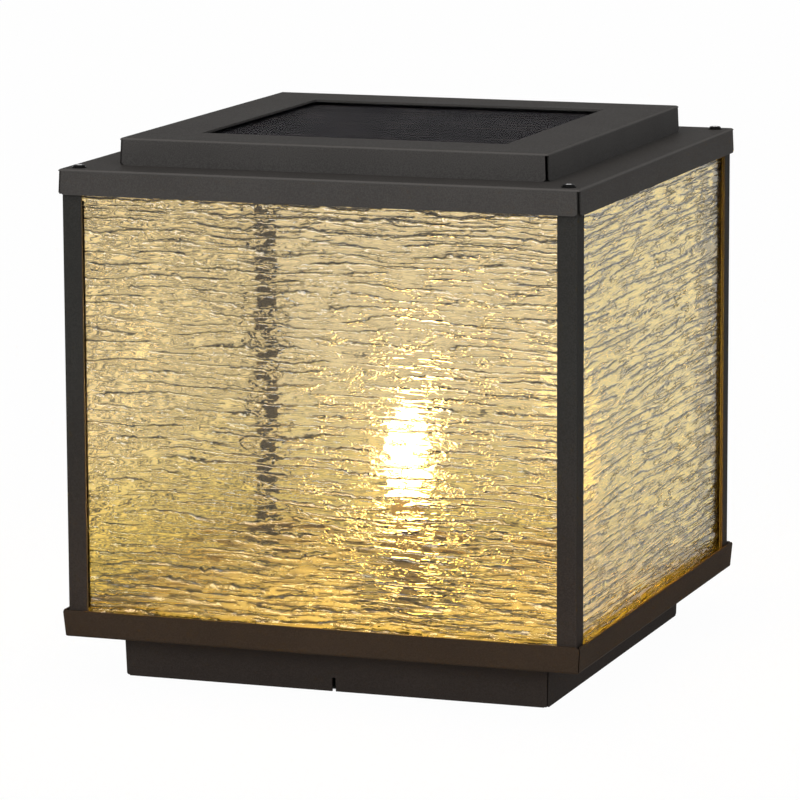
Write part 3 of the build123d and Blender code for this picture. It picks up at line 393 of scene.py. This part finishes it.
def finish_of(name):
    """A new material with a Principled shader, and the Pattern that its nodes are added to."""
    material = bpy.data.materials.new(name)
    material.use_nodes = True
    pattern = Pattern(material.node_tree)
    shader = next(n for n in material.node_tree.nodes if n.type == "BSDF_PRINCIPLED")
    return material, pattern, shader


def bump(pattern, shader, height, distance):
    """Raises the surface by height times distance."""
    made = pattern.node("ShaderNodeBump")
    pattern.feed(made.inputs["Height"], height)
    made.inputs["Strength"].default_value = 1.0
    made.inputs["Distance"].default_value = distance
    pattern.feed(shader.inputs["Normal"], made.outputs[0])


def place(pattern):
    """The point on the piece, in the piece's own coordinates."""
    return pattern.node("ShaderNodeTexCoord").outputs["Object"]


def dress(nodes, material):
    """Gives CAD nodes a material."""
    for name in nodes:
        piece = frame["nodes"][name]
        piece.data.materials.clear()
        piece.data.materials.append(material)


def nodes_in(slot):
    """The CAD nodes that take their finish from a slot of the record."""
    return [name for name, held in SLOT_OF.items() if held == slot]


def choose(piece):
    """Makes a piece the only one that is selected, and the active one."""
    bpy.ops.object.select_all(action="DESELECT")
    piece.select_set(True)
    bpy.context.view_layer.objects.active = piece


def copy_of(piece, shift=(0, 0, 0), angle=0.0):
    """A copy of a piece with its own mesh, turned about the lamp's axis by angle in degrees and then shifted."""
    choose(piece)
    bpy.ops.object.duplicate()
    copy = bpy.context.object
    copy.location = shift
    copy.rotation_euler.z = math.radians(angle)
    bpy.ops.object.transform_apply(location=True, rotation=True, scale=True)
    return copy


def joined(pieces, name):
    """The pieces made one, under a name."""
    choose(pieces[0])
    for piece in pieces:
        piece.select_set(True)
    bpy.ops.object.join()
    whole = bpy.context.object
    whole.name = name
    return whole


def bar(size, middle, edge, segments):
    """A block of the given size with bevelled edges."""
    bpy.ops.object.select_all(action="DESELECT")
    bpy.ops.mesh.primitive_cube_add(size=1, location=middle)
    block = bpy.context.object
    block.scale = size
    bpy.ops.object.transform_apply(location=True, rotation=True, scale=True)
    bpy.ops.object.mode_set(mode="EDIT")
    bpy.ops.mesh.select_all(action="SELECT")
    bpy.ops.mesh.bevel(offset=edge, segments=segments)
    bpy.ops.object.mode_set(mode="OBJECT")
    return block


def on_pane(p, spot, outward):
    """Where a point lies along a pane and up it, in millimetres. The side panes' ripples are drawn out longer."""
    x, y, z = p.split(spot)
    if outward.y:
        return p.times(x, 1000), p.times(z, 1000)
    return p.times(y, 1000 / SIDE_RIPPLE_LENGTH), p.times(z, 1000 / SIDE_RIPPLE_HEIGHT)


def blots(p, along, up, size, seed, detail=1.0):
    """Smooth noise over a pane, with blots of the given length and height."""
    length, height = size
    return p.noise(p.point(p.times(along, 1 / length), p.add(p.times(up, 1 / height), seed)), detail=detail)


def crowding(p, along, z, low, high):
    """How crowded the lines are: 0 in the middle of a pane, and more near its lower, upper and right edges."""
    away = p.math("ABSOLUTE", p.add(z, -(low.z + high.z) / 2))
    half = (high.z - low.z) / 2
    towards_ends = p.ramp(away, 0.45 * half, 0.95 * half)
    towards_right = p.ramp(along, 20.0, 120.0, 0.0, 0.8)
    return p.add(towards_ends, towards_right)


def wavy_lines(p, along, up, lines, pitch, width, seed, more):
    """A set of lines along a pane: 1 in the middle of a line, and 0 beside it and where it is missing."""
    seed = seed + lines.shift
    bend = blots(p, along, up, BEND_SIZE, seed)
    jag = blots(p, along, up, JAG_SIZE, seed + 31, detail=1.5)
    count = p.add(p.add(p.times(up, 1 / pitch), p.times(bend, lines.wander)), p.times(jag, 0.38))
    number = p.math("FLOOR", count)
    offset = p.times(p.add(p.math("SUBTRACT", count, number), -0.5), pitch)
    stretch = p.noise(p.point(p.times(along, 1 / lines.reach), p.add(p.times(number, LINE_STEP), seed)), detail=1.0)
    kept = p.ramp(p.add(stretch, p.times(more, 0.09)), 0.38, 0.56)
    return p.times(hollow(p, offset, width), kept)


def hollow(p, offset, width):
    """A rounded hollow along a line: 1 on the line, and next to nothing beyond twice its width."""
    near = p.times(offset, 1 / width)
    return p.math("EXPONENT", p.times(p.times(near, near), -1.0))


class LANTERN_OT_stage(bpy.types.Operator):
    """Add the camera, the floor, the surroundings and the lamps"""

    bl_idname = "lantern.stage"
    bl_label = "Stage"

    def execute(self, context):
        values = context.scene.lantern_stage
        self.camera(context, values)
        self.floor(values)
        self.surroundings(context, values)
        for name, (direction, spread, colour) in LAMPS.items():
            self.lamp(name.capitalize() + " light", getattr(values, name), direction, spread, colour)
        context.scene.view_settings.view_transform = "Standard"
        return {"FINISHED"}

    def camera(self, context, values):
        yaw, pitch, roll = values.yaw, values.pitch, values.roll
        ahead = Vector((-math.sin(yaw) * math.cos(pitch), math.cos(yaw) * math.cos(pitch), math.sin(pitch)))
        right = Vector((math.cos(yaw), math.sin(yaw), 0))
        up = right.cross(ahead)
        across = math.cos(roll) * right + math.sin(roll) * up
        top = math.cos(roll) * up - math.sin(roll) * right
        data = bpy.data.cameras.new("Camera")
        data.sensor_width = SENSOR_WIDTH
        data.lens = values.lens
        camera = bpy.data.objects.new("Camera", data)
        turn = Matrix((across, top, -ahead)).transposed().to_4x4()
        camera.matrix_world = Matrix.Translation(Vector(values.camera_place)) @ turn
        context.scene.collection.objects.link(camera)
        context.scene.camera = camera

    def floor(self, values):
        bpy.ops.object.select_all(action="DESELECT")
        bpy.ops.mesh.primitive_plane_add(size=FLOOR_SIZE, location=(0, 0, 0))
        floor = bpy.context.object
        floor.name = "Floor"
        material = bpy.data.materials.new("Pale floor")
        material.use_nodes = True
        p = Pattern(material.node_tree)
        p.tree.nodes.clear()
        matt = p.node("ShaderNodeBsdfDiffuse")
        matt.inputs["Color"].default_value = (*[values.floor_colour] * 3, 1)
        white = p.node("ShaderNodeEmission")
        white.inputs["Color"].default_value = (1, 1, 1, 1)
        mixed = p.node("ShaderNodeMixShader")
        x, y, z = p.split(place(p))
        reach = p.math("MAXIMUM", p.math("ABSOLUTE", x), p.math("ABSOLUTE", y))
        half_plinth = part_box("plinth")[1].x
        beside = p.ramp(reach, half_plinth - 0.008, half_plinth - 0.004)
        p.feed(mixed.inputs[0], p.times(p.times(seen_directly(p), beside), values.floor_white))
        p.feed(mixed.inputs[1], matt.outputs[0])
        p.feed(mixed.inputs[2], white.outputs[0])
        p.feed(p.node("ShaderNodeOutputMaterial").inputs["Surface"], mixed.outputs[0])
        floor.data.materials.append(material)

    def surroundings(self, context, values):
        world = bpy.data.worlds.new("Studio")
        world.use_nodes = True
        context.scene.world = world
        p = Pattern(world.node_tree)
        p.tree.nodes.clear()
        soft = p.node("ShaderNodeBackground")
        soft.inputs["Strength"].default_value = values.ambient
        white = p.node("ShaderNodeBackground")
        for background in (soft, white):
            background.inputs["Color"].default_value = (1, 1, 1, 1)
        mixed = p.node("ShaderNodeMixShader")
        p.feed(mixed.inputs[0], seen_directly(p))
        p.feed(mixed.inputs[1], soft.outputs[0])
        p.feed(mixed.inputs[2], white.outputs[0])
        p.feed(p.node("ShaderNodeOutputWorld").inputs["Surface"], mixed.outputs[0])

    def lamp(self, name, strength, direction, spread, colour):
        tilt, turn = direction
        data = bpy.data.lights.new(name, "SUN")
        data.energy = strength
        data.angle = math.radians(spread)
        data.color = colour
        lamp = bpy.data.objects.new(name, data)
        lamp.rotation_euler = (math.radians(tilt), 0, math.radians(turn))
        bpy.context.scene.collection.objects.link(lamp)


def seen_directly(p):
    """1 for rays that come from the camera, a reflection or through glass."""
    path = p.node("ShaderNodeLightPath")
    seen = p.math("MAXIMUM", path.outputs["Is Camera Ray"], path.outputs["Is Glossy Ray"])
    return p.math("MAXIMUM", seen, path.outputs["Is Transmission Ray"])


class LANTERN_OT_panes(bpy.types.Operator):
    """Model the four panes of ripple glass"""

    bl_idname = "lantern.panes"
    bl_label = "Ripple glass panes"

    def execute(self, context):
        values = context.scene.lantern_glass
        flat = self.flat_pane(values)
        panes = [flat] + [copy_of(flat, angle=angle) for outward, angle in SIDES.values() if angle]
        for number, (side, (outward, angle)) in enumerate(SIDES.items()):
            node = "glass_pane_" + side
            pane = panes[number]
            pane.name = "ripple_" + side
            seed = 17.0 * number
            self.relief(values, pane, *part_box(node), outward, seed)
            pane.data.materials.append(self.glass(values, side, outward, seed))
            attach(pane, "lantern")
            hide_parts(node)
        return {"FINISHED"}

    def flat_pane(self, values):
        """The front pane before its ripples are pressed: a finely divided outer face and a plain inner one."""
        low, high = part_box("glass_pane_front")
        width, depth, height = high - low
        middle = (low + high) / 2
        bpy.ops.object.select_all(action="DESELECT")
        bpy.ops.mesh.primitive_grid_add(
            x_subdivisions=values.columns, y_subdivisions=values.rows, size=1,
            location=(middle.x, low.y, middle.z), rotation=(math.radians(90), 0, 0))
        pane = bpy.context.object
        pane.scale = (width, height, 1)
        bpy.ops.object.transform_apply(location=True, rotation=True, scale=True)
        bpy.ops.object.mode_set(mode="EDIT")
        bpy.ops.mesh.select_mode(type="EDGE")
        bpy.ops.mesh.select_all(action="DESELECT")
        bpy.ops.mesh.select_non_manifold()
        bpy.ops.mesh.extrude_edges_move(TRANSFORM_OT_translate={"value": (0, depth, 0)})
        bpy.ops.mesh.edge_face_add()
        bpy.ops.mesh.select_all(action="SELECT")
        bpy.ops.mesh.normals_make_consistent(inside=False)
        bpy.ops.object.mode_set(mode="OBJECT")
        bpy.ops.object.shade_smooth_by_angle(angle=math.radians(75))
        return pane

    def relief(self, values, pane, low, high, outward, seed):
        """Presses the grooves and the slow waves into the pane's outer face, up to its edges."""
        tree = bpy.data.node_groups.new("Ripple relief " + pane.name, "GeometryNodeTree")
        tree.interface.new_socket("Geometry", in_out="INPUT", socket_type="NodeSocketGeometry")
        tree.interface.new_socket("Geometry", in_out="OUTPUT", socket_type="NodeSocketGeometry")
        p = Pattern(tree)
        spot = p.node("GeometryNodeInputPosition").outputs[0]
        x, y, z = p.split(spot)
        across = x if outward.y else y
        along, up = on_pane(p, spot, outward)
        more = crowding(p, along, z, low, high)
        shoulders = wavy_lines(
            p, along, up, GROOVES, values.groove_pitch, values.shoulder_width, seed, more)
        slow = blots(p, along, up, SLOW_WAVE_SIZE, seed)
        deep = blots(p, along, up, DEEP_WAVE_SIZE, seed + 5)
        near_foot = p.ramp(z, *DEEP_WAVE_HEIGHTS, 1.0, 0.12)
        waves = p.add(p.times(slow, values.swell), p.times(deep, p.times(near_foot, values.low_swell)))
        depth = p.times(p.add(p.times(shoulders, values.shoulder_depth), waves), MILLIMETRE)
        half_width = max(high.x - low.x, high.y - low.y) / 2
        side_room = p.math("SUBTRACT", half_width, p.math("ABSOLUTE", across))
        end_room = p.math("SUBTRACT", (high.z - low.z) / 2,
                          p.math("ABSOLUTE", p.add(z, -(high.z + low.z) / 2)))
        fade = p.ramp(p.math("MINIMUM", side_room, end_room), 0.0, EDGE_FADE)
        inward = p.times(p.times(depth, fade), -1.0)
        move = p.point(*(p.times(inward, part) for part in outward))
        shift = p.node("GeometryNodeSetPosition")
        p.feed(shift.inputs["Offset"], move)
        p.feed(shift.inputs["Geometry"], p.node("NodeGroupInput").outputs[0])
        p.feed(p.node("NodeGroupOutput").inputs[0], shift.outputs[0])
        choose(pane)
        bpy.ops.object.modifier_add(type="NODES")
        pane.modifiers[-1].node_group = tree
        bpy.ops.object.modifier_apply(modifier=pane.modifiers[-1].name)

    def glass(self, values, side, outward, seed):
        """Clear glass painted warm, a painted glow of the bulb, with dark lines of painted shade and small curls on
        its outer face.
        """
        material, p, shader = finish_of("Ripple glass " + side)
        # Painted glow: the pane's tint stands in for the bulb's warm light in the glass.
        tint = tuple(getattr(values, side + "_tint"))
        shader.inputs["Transmission Weight"].default_value = 1.0
        shader.inputs["IOR"].default_value = GLASS_IOR
        spot = place(p)
        x, y, z = p.split(spot)
        along, up = on_pane(p, spot, outward)
        more = crowding(p, along, z, *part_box("glass_pane_" + side))
        patches = blots(p, along, up, PATCH_SIZE, seed)
        sharp = wavy_lines(p, along, up, GROOVES, values.groove_pitch, values.groove_width, seed, more)
        fine = wavy_lines(
            p, along, up, FINE_LINES, values.fine_pitch, values.fine_width, seed, p.times(more, 0.4))
        crinkled = p.ramp(p.add(patches, p.times(more, 0.08)), 0.32, 0.50)
        fine = p.times(p.times(fine, crinkled), p.ramp(more, 0.0, 1.2, 0.7, 1.0))
        curls = blots(p, along, up, CURL_SIZE, seed)
        rings = p.math("ABSOLUTE", p.add(curls, -0.5))
        curl_lines = p.times(p.ramp(rings, 0.0, 0.040, 0.65, 0.0), p.ramp(patches, 0.47, 0.58))
        curled = p.times(p.ramp(rings, 0.0, 0.07), p.ramp(patches, 0.52, 0.66))
        lines = p.math("MINIMUM", p.add(p.add(sharp, fine), curl_lines), 1.0)
        tangle = wavy_lines(p, along, up, TANGLE, values.tangle_pitch, values.tangle_width, seed, 0.6)
        rise = p.add(p.add(z, p.times(patches, 0.05)), p.times(along, -0.00011))
        tangle = p.times(tangle, p.ramp(rise, *TANGLE_PAINTED_SHADE_HEIGHTS, 1.0 if outward.y else 0.3, 0.0))
        depth = p.times(x if outward.x else y, 1.0 if outward.x + outward.y > 0 else -1.0)
        outside = p.ramp(depth, PANE_INNER_FACE + 0.0002, PANE_INNER_FACE + 0.0008)
        height = p.math("SUBTRACT", p.times(curled, values.curl_height), p.times(lines, values.groove_depth))
        bump(p, shader, p.times(height, outside), MILLIMETRE)
        # Painted glow: the pane turns more golden towards its lower edge.
        low_tint = tuple(part * share for part, share in zip(tint, values.low_tint))
        clear = p.blend(p.ramp(z, *LOW_PAINTED_GLOW_HEIGHTS), low_tint, tint)
        # Painted shade: dark tangled lines near the lower edge.
        tangled = p.blend(p.times(tangle, outside), clear, tuple(values.tangle_tint))
        # Painted shade: the grooves, fine lines and curl lines are painted dark in the glass.
        p.feed(shader.inputs["Base Color"], p.blend(p.times(lines, outside), tangled, tuple(values.line_tint)))
        p.feed(shader.inputs["Roughness"], p.ramp(patches, 0.3, 0.7, 0.02, 0.035))
        see_through(p, shader, tint)
        return material


def see_through(p, shader, tint):
    """Lets lamplight pass straight through glass, tinted, so that what lies behind it is lit."""
    path = p.node("ShaderNodeLightPath")
    clear = p.node("ShaderNodeBsdfTransparent")
    clear.inputs["Color"].default_value = (*tint, 1)
    mixed = p.node("ShaderNodeMixShader")
    p.feed(mixed.inputs[0], path.outputs["Is Shadow Ray"])
    p.feed(mixed.inputs[1], shader.outputs[0])
    p.feed(mixed.inputs[2], clear.outputs[0])
    output = next(n for n in p.tree.nodes if n.type == "OUTPUT_MATERIAL")
    p.feed(output.inputs["Surface"], mixed.outputs[0])


class LANTERN_OT_metalwork(bpy.types.Operator):
    """Coat the plinth, the trays, the cap, the posts and the pane retainers"""

    bl_idname = "lantern.metalwork"
    bl_label = "Coated metalwork"

    def execute(self, context):
        values = context.scene.lantern_coat
        even = (1.0, 1.0, 1.0)
        # The feet, the rim, the posts and the retainers take tones of painted shade and painted glow.
        foot, rim = tuple(values.foot_glow_and_shade), tuple(values.rim_painted_glow)
        posts = [name for name in nodes_in("powder_coat") if name.startswith("corner_post")]
        half_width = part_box("corner_post_front_right")[1].x
        for name in ("solar_cap", "roof_tray"):
            dress([name], self.coat(values, "Powder coat of " + name, even, even, fold=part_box(name)[1]))
        dress(posts, self.coat(
            values, "Powder coat of posts", foot, tuple(values.post_painted_shade), POST_PAINTED_SHADE_INSIDE, half_width))
        dress(["base_tray"], self.coat(
            values, "Powder coat of base_tray", rim, rim, values.tray_floor_painted_light, TRAY_HALF_WIDTH))
        dress(["plinth", "foot_welds"], self.coat(values, "Powder coat of plinth", foot, foot))
        dress(["pane_retainers"], self.coat(
            values, "Powder coat of pane_retainers", RETAINER_PAINTED_SHADE, RETAINER_PAINTED_SHADE))
        return {"FINISHED"}

    def coat(self, values, name, foot_glow_and_shade, tone, inner=None, half_width=None, fold=None):
        """Fine-textured coat with lighter flecks, in a tone that may change from the foot of the lantern upwards, a
        painted shade and painted glow.

        Inside a wall at half_width from the lamp's axis it is inner times as pale as a fleck: painted shade inside
        the posts, painted bulb light on the tray's floor. Along the fold below the corner given it is painted
        paler, a painted highlight.
        """
        material, p, shader = finish_of(name)
        spot = place(p)
        x, y, z = p.split(spot)
        reach = p.math("MAXIMUM", p.math("ABSOLUTE", x), p.math("ABSOLUTE", y))
        grain = p.noise(spot, scale=1 / values.grain, detail=2.0, roughness=0.6, flat=False)
        cloud = p.noise(spot, scale=CLOUD_SCALE, detail=2.0, flat=False)
        fleck = p.ramp(p.add(grain, p.times(p.add(cloud, -0.5), 0.25)), 0.36, 0.66)
        coated = p.blend(fleck, tuple(values.colour), tuple(values.fleck_colour))
        # Painted shade and glow: the tone changes from the foot upwards.
        coated = p.tinted(coated, p.blend(p.ramp(z, *FOOT_GLOW_AND_SHADE_HEIGHTS), tuple(foot_glow_and_shade), tuple(tone)))
        # Painted shade or light inside the wall: darker in the posts, paler on the tray's floor.
        if half_width:
            within = p.ramp(reach, half_width - 0.0009, half_width - 0.0005, 1.0, 0.0)
            above = p.ramp(z, TRAY_FLOOR - 0.0006, TRAY_FLOOR - 0.0001)
            inside_painted_light_and_shade = tuple(inner * part for part in values.fleck_colour)
            coated = p.blend(p.times(within, above), coated, inside_painted_light_and_shade)
        # Painted highlight: a paler line along the fold, where light catches the bend.
        if fold:
            beside = p.ramp(reach, fold.x - 0.0020, fold.x - 0.0012)
            below = p.ramp(z, fold.z - 0.0014, fold.z - 0.0006)
            painted_highlight = tuple(1.7 * part for part in values.fleck_colour)
            coated = p.blend(p.times(p.times(beside, below), 0.6), coated, painted_highlight)
        p.feed(shader.inputs["Base Color"], coated)
        p.feed(shader.inputs["Roughness"], p.ramp(grain, 0.3, 0.7, 0.62, 0.52))
        shader.inputs["Specular IOR Level"].default_value = values.sheen
        bump(p, shader, grain, values.grain_height)
        return material


class LANTERN_OT_solar_panel(bpy.types.Operator):
    """Model the cells with their collector bars, and finish the cover glass and the backboard"""

    bl_idname = "lantern.solar_panel"
    bl_label = "Solar panel"

    def execute(self, context):
        values = context.scene.lantern_panel
        low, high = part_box("solar_cells")
        cells = self.cells(values, low, high)
        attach(cells, "lantern")
        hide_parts("solar_cells")
        self.cover()
        mould("panel_board")
        return {"FINISHED"}

    def cells(self, values, low, high):
        """The strips of cell, each with its collector bars, joined into one piece."""
        width, reach, height = high - low
        pitch = (reach + values.gap) / values.rows
        strip = pitch - values.gap
        thick = height - values.proud
        wafer = bar((width, strip, thick), (0, low.y + strip / 2, low.z + thick / 2), edge=0.0001, segments=2)
        wafer.data.materials.append(self.wafer_finish(values))
        bar_pitch = strip / values.bars
        silver = bar((width - 0.002, values.bar_width, 2 * values.proud),
                     (0, low.y + bar_pitch / 2, high.z - values.proud), edge=0.00003, segments=1)
        silver.data.materials.append(self.bar_finish(values))
        bars = [copy_of(silver, (0, n * bar_pitch, 0)) for n in range(1, values.bars)]
        first = joined([wafer, silver, *bars], "cell_strip")
        rest = [copy_of(first, (0, n * pitch, 0)) for n in range(1, values.rows)]
        return joined([first, *rest], "cell_strips")

    def wafer_finish(self, values):
        material, p, shader = finish_of("Cell wafer")
        x, y, z = p.split(place(p))
        flakes = p.noise(p.point(p.times(x, 40), p.times(y, 300)), detail=2.0)
        p.feed(shader.inputs["Base Color"], p.blend(
            flakes, tuple(values.cell_colour), tuple(2.4 * part for part in values.cell_colour)))
        p.feed(shader.inputs["Roughness"], p.ramp(flakes, 0.3, 0.7, 0.40, 0.52))
        shader.inputs["Specular IOR Level"].default_value = 0.0
        return material

    def bar_finish(self, values):
        material, p, shader = finish_of("Collector bar")
        x, y, z = p.split(place(p))
        breaks = p.noise(p.point(p.times(x, 34), p.times(y, 260)), detail=1.0)
        shade = p.ramp(breaks, 0.46, 0.62)
        p.feed(shader.inputs["Base Color"], p.blend(
            shade, tuple(2.0 * part for part in values.cell_colour), tuple(values.bar_colour)))
        p.feed(shader.inputs["Roughness"], p.ramp(breaks, 0.3, 0.7, 0.5, 0.4))
        shader.inputs["Specular IOR Level"].default_value = 0.0
        return material

    def cover(self):
        material, p, shader = finish_of("Panel glass")
        spot = place(p)
        haze = p.noise(spot, scale=30.0, detail=3.0, flat=False)
        shader.inputs["Base Color"].default_value = (*COVER_TINT, 1)
        shader.inputs["Transmission Weight"].default_value = 1.0
        shader.inputs["IOR"].default_value = COVER_IOR
        shader.inputs["Specular IOR Level"].default_value = 0.2
        p.feed(shader.inputs["Roughness"], p.ramp(haze, 0.3, 0.7, 0.04, 0.08))
        see_through(p, shader, COVER_TINT)
        dress(nodes_in("panel_glass"), material)


def mould(*slots):
    """Gives the nodes in each slot its moulded finish."""
    for slot in slots:
        dress(nodes_in(slot), moulded(*MOULDED[slot]))


def moulded(name, dark, light, roughness, scale, height):
    """A moulded or coated surface whose colour and gloss vary a little, with a fine texture."""
    material, p, shader = finish_of(name)
    spot = place(p)
    grain = p.noise(spot, scale=scale, detail=2.0, flat=False)
    cloud = p.noise(spot, scale=scale / 20, detail=2.0, flat=False)
    p.feed(shader.inputs["Base Color"], p.blend(p.add(p.times(grain, 0.5), p.times(cloud, 0.5)), dark, light))
    p.feed(shader.inputs["Roughness"], p.ramp(cloud, 0.3, 0.7, roughness - 0.06, roughness + 0.06))
    bump(p, shader, grain, height)
    return material


def plated(name, dark, light, roughness, scale):
    """A plated metal surface with faint drawn lines."""
    material, p, shader = finish_of(name)
    x, y, z = p.split(place(p))
    drawn = p.point(p.times(x, scale), p.times(y, scale), p.times(z, scale * 6))
    lines = p.noise(drawn, detail=2.0, flat=False)
    p.feed(shader.inputs["Base Color"], p.blend(lines, dark, light))
    p.feed(shader.inputs["Roughness"], p.ramp(lines, 0.3, 0.7, roughness - 0.07, roughness + 0.07))
    shader.inputs["Metallic"].default_value = 1.0
    bump(p, shader, lines, 0.00001)
    return material


class LANTERN_OT_bulb(bpy.types.Operator):
    """Light the bulb, and finish its housing, light board, cap and socket"""

    bl_idname = "lantern.bulb"
    bl_label = "Bulb and holder"

    def execute(self, context):
        values = context.scene.lantern_bulb
        material, p, shader = finish_of("Lit opal glass")
        cloud = p.noise(place(p), scale=60.0, detail=2.0, flat=False)
        glow = tuple(values.glow_colour)
        paler = tuple(0.5 + 0.5 * part for part in glow)
        shader.inputs["Base Color"].default_value = (0.9, 0.86, 0.76, 1)
        p.feed(shader.inputs["Roughness"], p.ramp(cloud, 0.3, 0.7, 0.25, 0.35))
        p.feed(shader.inputs["Emission Color"], p.blend(p.ramp(cloud, 0.3, 0.7, 0.0, 0.35), glow, paler))
        shader.inputs["Emission Strength"].default_value = values.glow
        dress(nodes_in("bulb_envelope"), material)
        mould("bulb_housing", "light_board", "socket_moulding")
        dress(nodes_in("nickel"), plated(*PLATED["nickel"]))
        return {"FINISHED"}


class LANTERN_OT_fasteners(bpy.types.Operator):
    """Finish the screws, the standoffs and the nuts"""

    bl_idname = "lantern.fasteners"
    bl_label = "Fasteners"

    def execute(self, context):
        dress(nodes_in("black_screw"), self.black_heads())
        dress(nodes_in("zinc_steel"), plated(*PLATED["zinc_steel"]))
        return {"FINISHED"}

    def black_heads(self):
        """Black heads, with a painted glint: the recess where the driver turns them is painted pale."""
        material, p, shader = finish_of("Black screw")
        spot = place(p)
        x, y, z = p.split(spot)
        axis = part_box("roof_corner_screws")[1].x - HEAD_RADIUS
        side = p.add(p.math("ABSOLUTE", x), -axis)
        end = p.add(p.math("ABSOLUTE", y), -axis)
        far = p.math("SQRT", p.add(p.times(side, side), p.times(end, end)))
        scuff = p.noise(spot, scale=1500.0, detail=2.0, flat=False)
        # Painted glint: the recess is painted pale, standing in for a highlight.
        painted_highlight = p.ramp(p.add(far, p.times(scuff, 0.0004)), RECESS_RADIUS - 0.0001, RECESS_RADIUS + 0.0001, 1.0, 0.0)
        p.feed(shader.inputs["Base Color"], p.blend(painted_highlight, (0.006, 0.006, 0.006), (0.70, 0.70, 0.70)))
        p.feed(shader.inputs["Roughness"], p.ramp(scuff, 0.3, 0.7, 0.22, 0.34))
        shader.inputs["Specular IOR Level"].default_value = 0.02
        bump(p, shader, scuff, 0.00001)
        return material


class LANTERN_OT_seals(bpy.types.Operator):
    """Finish the panel seal, the gaskets, the pane seals, the blocks, the gland and the grommet"""

    bl_idname = "lantern.seals"
    bl_label = "Seals"

    def execute(self, context):
        mould("seal_rubber")
        return {"FINISHED"}


class LANTERN_OT_battery(bpy.types.Operator):
    """Finish the battery box, the cells, their pads and tabs, and the controller board"""

    bl_idname = "lantern.battery"
    bl_label = "Battery and controller"

    def execute(self, context):
        mould("black_plastic", "cell_wrap", "cell_foam", "circuit_board", "components")
        return {"FINISHED"}


class LANTERN_OT_wiring(bpy.types.Operator):
    """Finish the leads"""

    bl_idname = "lantern.wiring"
    bl_label = "Leads"

    def execute(self, context):
        mould("cable_jacket")
        return {"FINISHED"}


class LANTERN_OT_button(bpy.types.Operator):
    """Finish the cap of the push-button"""

    bl_idname = "lantern.button"
    bl_label = "Push-button cap"

    def execute(self, context):
        mould("button_cap")
        return {"FINISHED"}


class LANTERN_PT_sidebar(bpy.types.Panel):
    """The lantern's steps and settings"""

    bl_idname = "LANTERN_PT_sidebar"
    bl_label = "Solar pillar lantern"
    bl_space_type = "VIEW_3D"
    bl_region_type = "UI"
    bl_category = "Lantern"

    def draw(self, context):
        for name, group in SETTINGS.items():
            values = getattr(context.scene, name)
            box = self.layout.box()
            box.label(text=group.__doc__)
            for key in group.__annotations__:
                box.prop(values, key)
        for step in STEPS:
            self.layout.operator(step.bl_idname)


SETTINGS = {
    "lantern_stage": StageSettings,
    "lantern_coat": CoatSettings,
    "lantern_glass": GlassSettings,
    "lantern_panel": PanelSettings,
    "lantern_bulb": BulbSettings,
}
STEPS = (
    LANTERN_OT_stage,
    LANTERN_OT_metalwork,
    LANTERN_OT_panes,
    LANTERN_OT_solar_panel,
    LANTERN_OT_bulb,
    LANTERN_OT_fasteners,
    LANTERN_OT_seals,
    LANTERN_OT_battery,
    LANTERN_OT_wiring,
    LANTERN_OT_button,
)


def register():
    for group in SETTINGS.values():
        bpy.utils.register_class(group)
    for name, group in SETTINGS.items():
        setattr(bpy.types.Scene, name, PointerProperty(type=group))
    for kind in (*STEPS, LANTERN_PT_sidebar):
        bpy.utils.register_class(kind)


def unregister():
    for kind in (LANTERN_PT_sidebar, *reversed(STEPS)):
        bpy.utils.unregister_class(kind)
    for name, group in SETTINGS.items():
        delattr(bpy.types.Scene, name)
        bpy.utils.unregister_class(group)


def main():
    register()
    for step in STEPS:
        family, name = step.bl_idname.split(".")
        getattr(getattr(bpy.ops, family), name)()


if __name__ == "__main__":
    main()
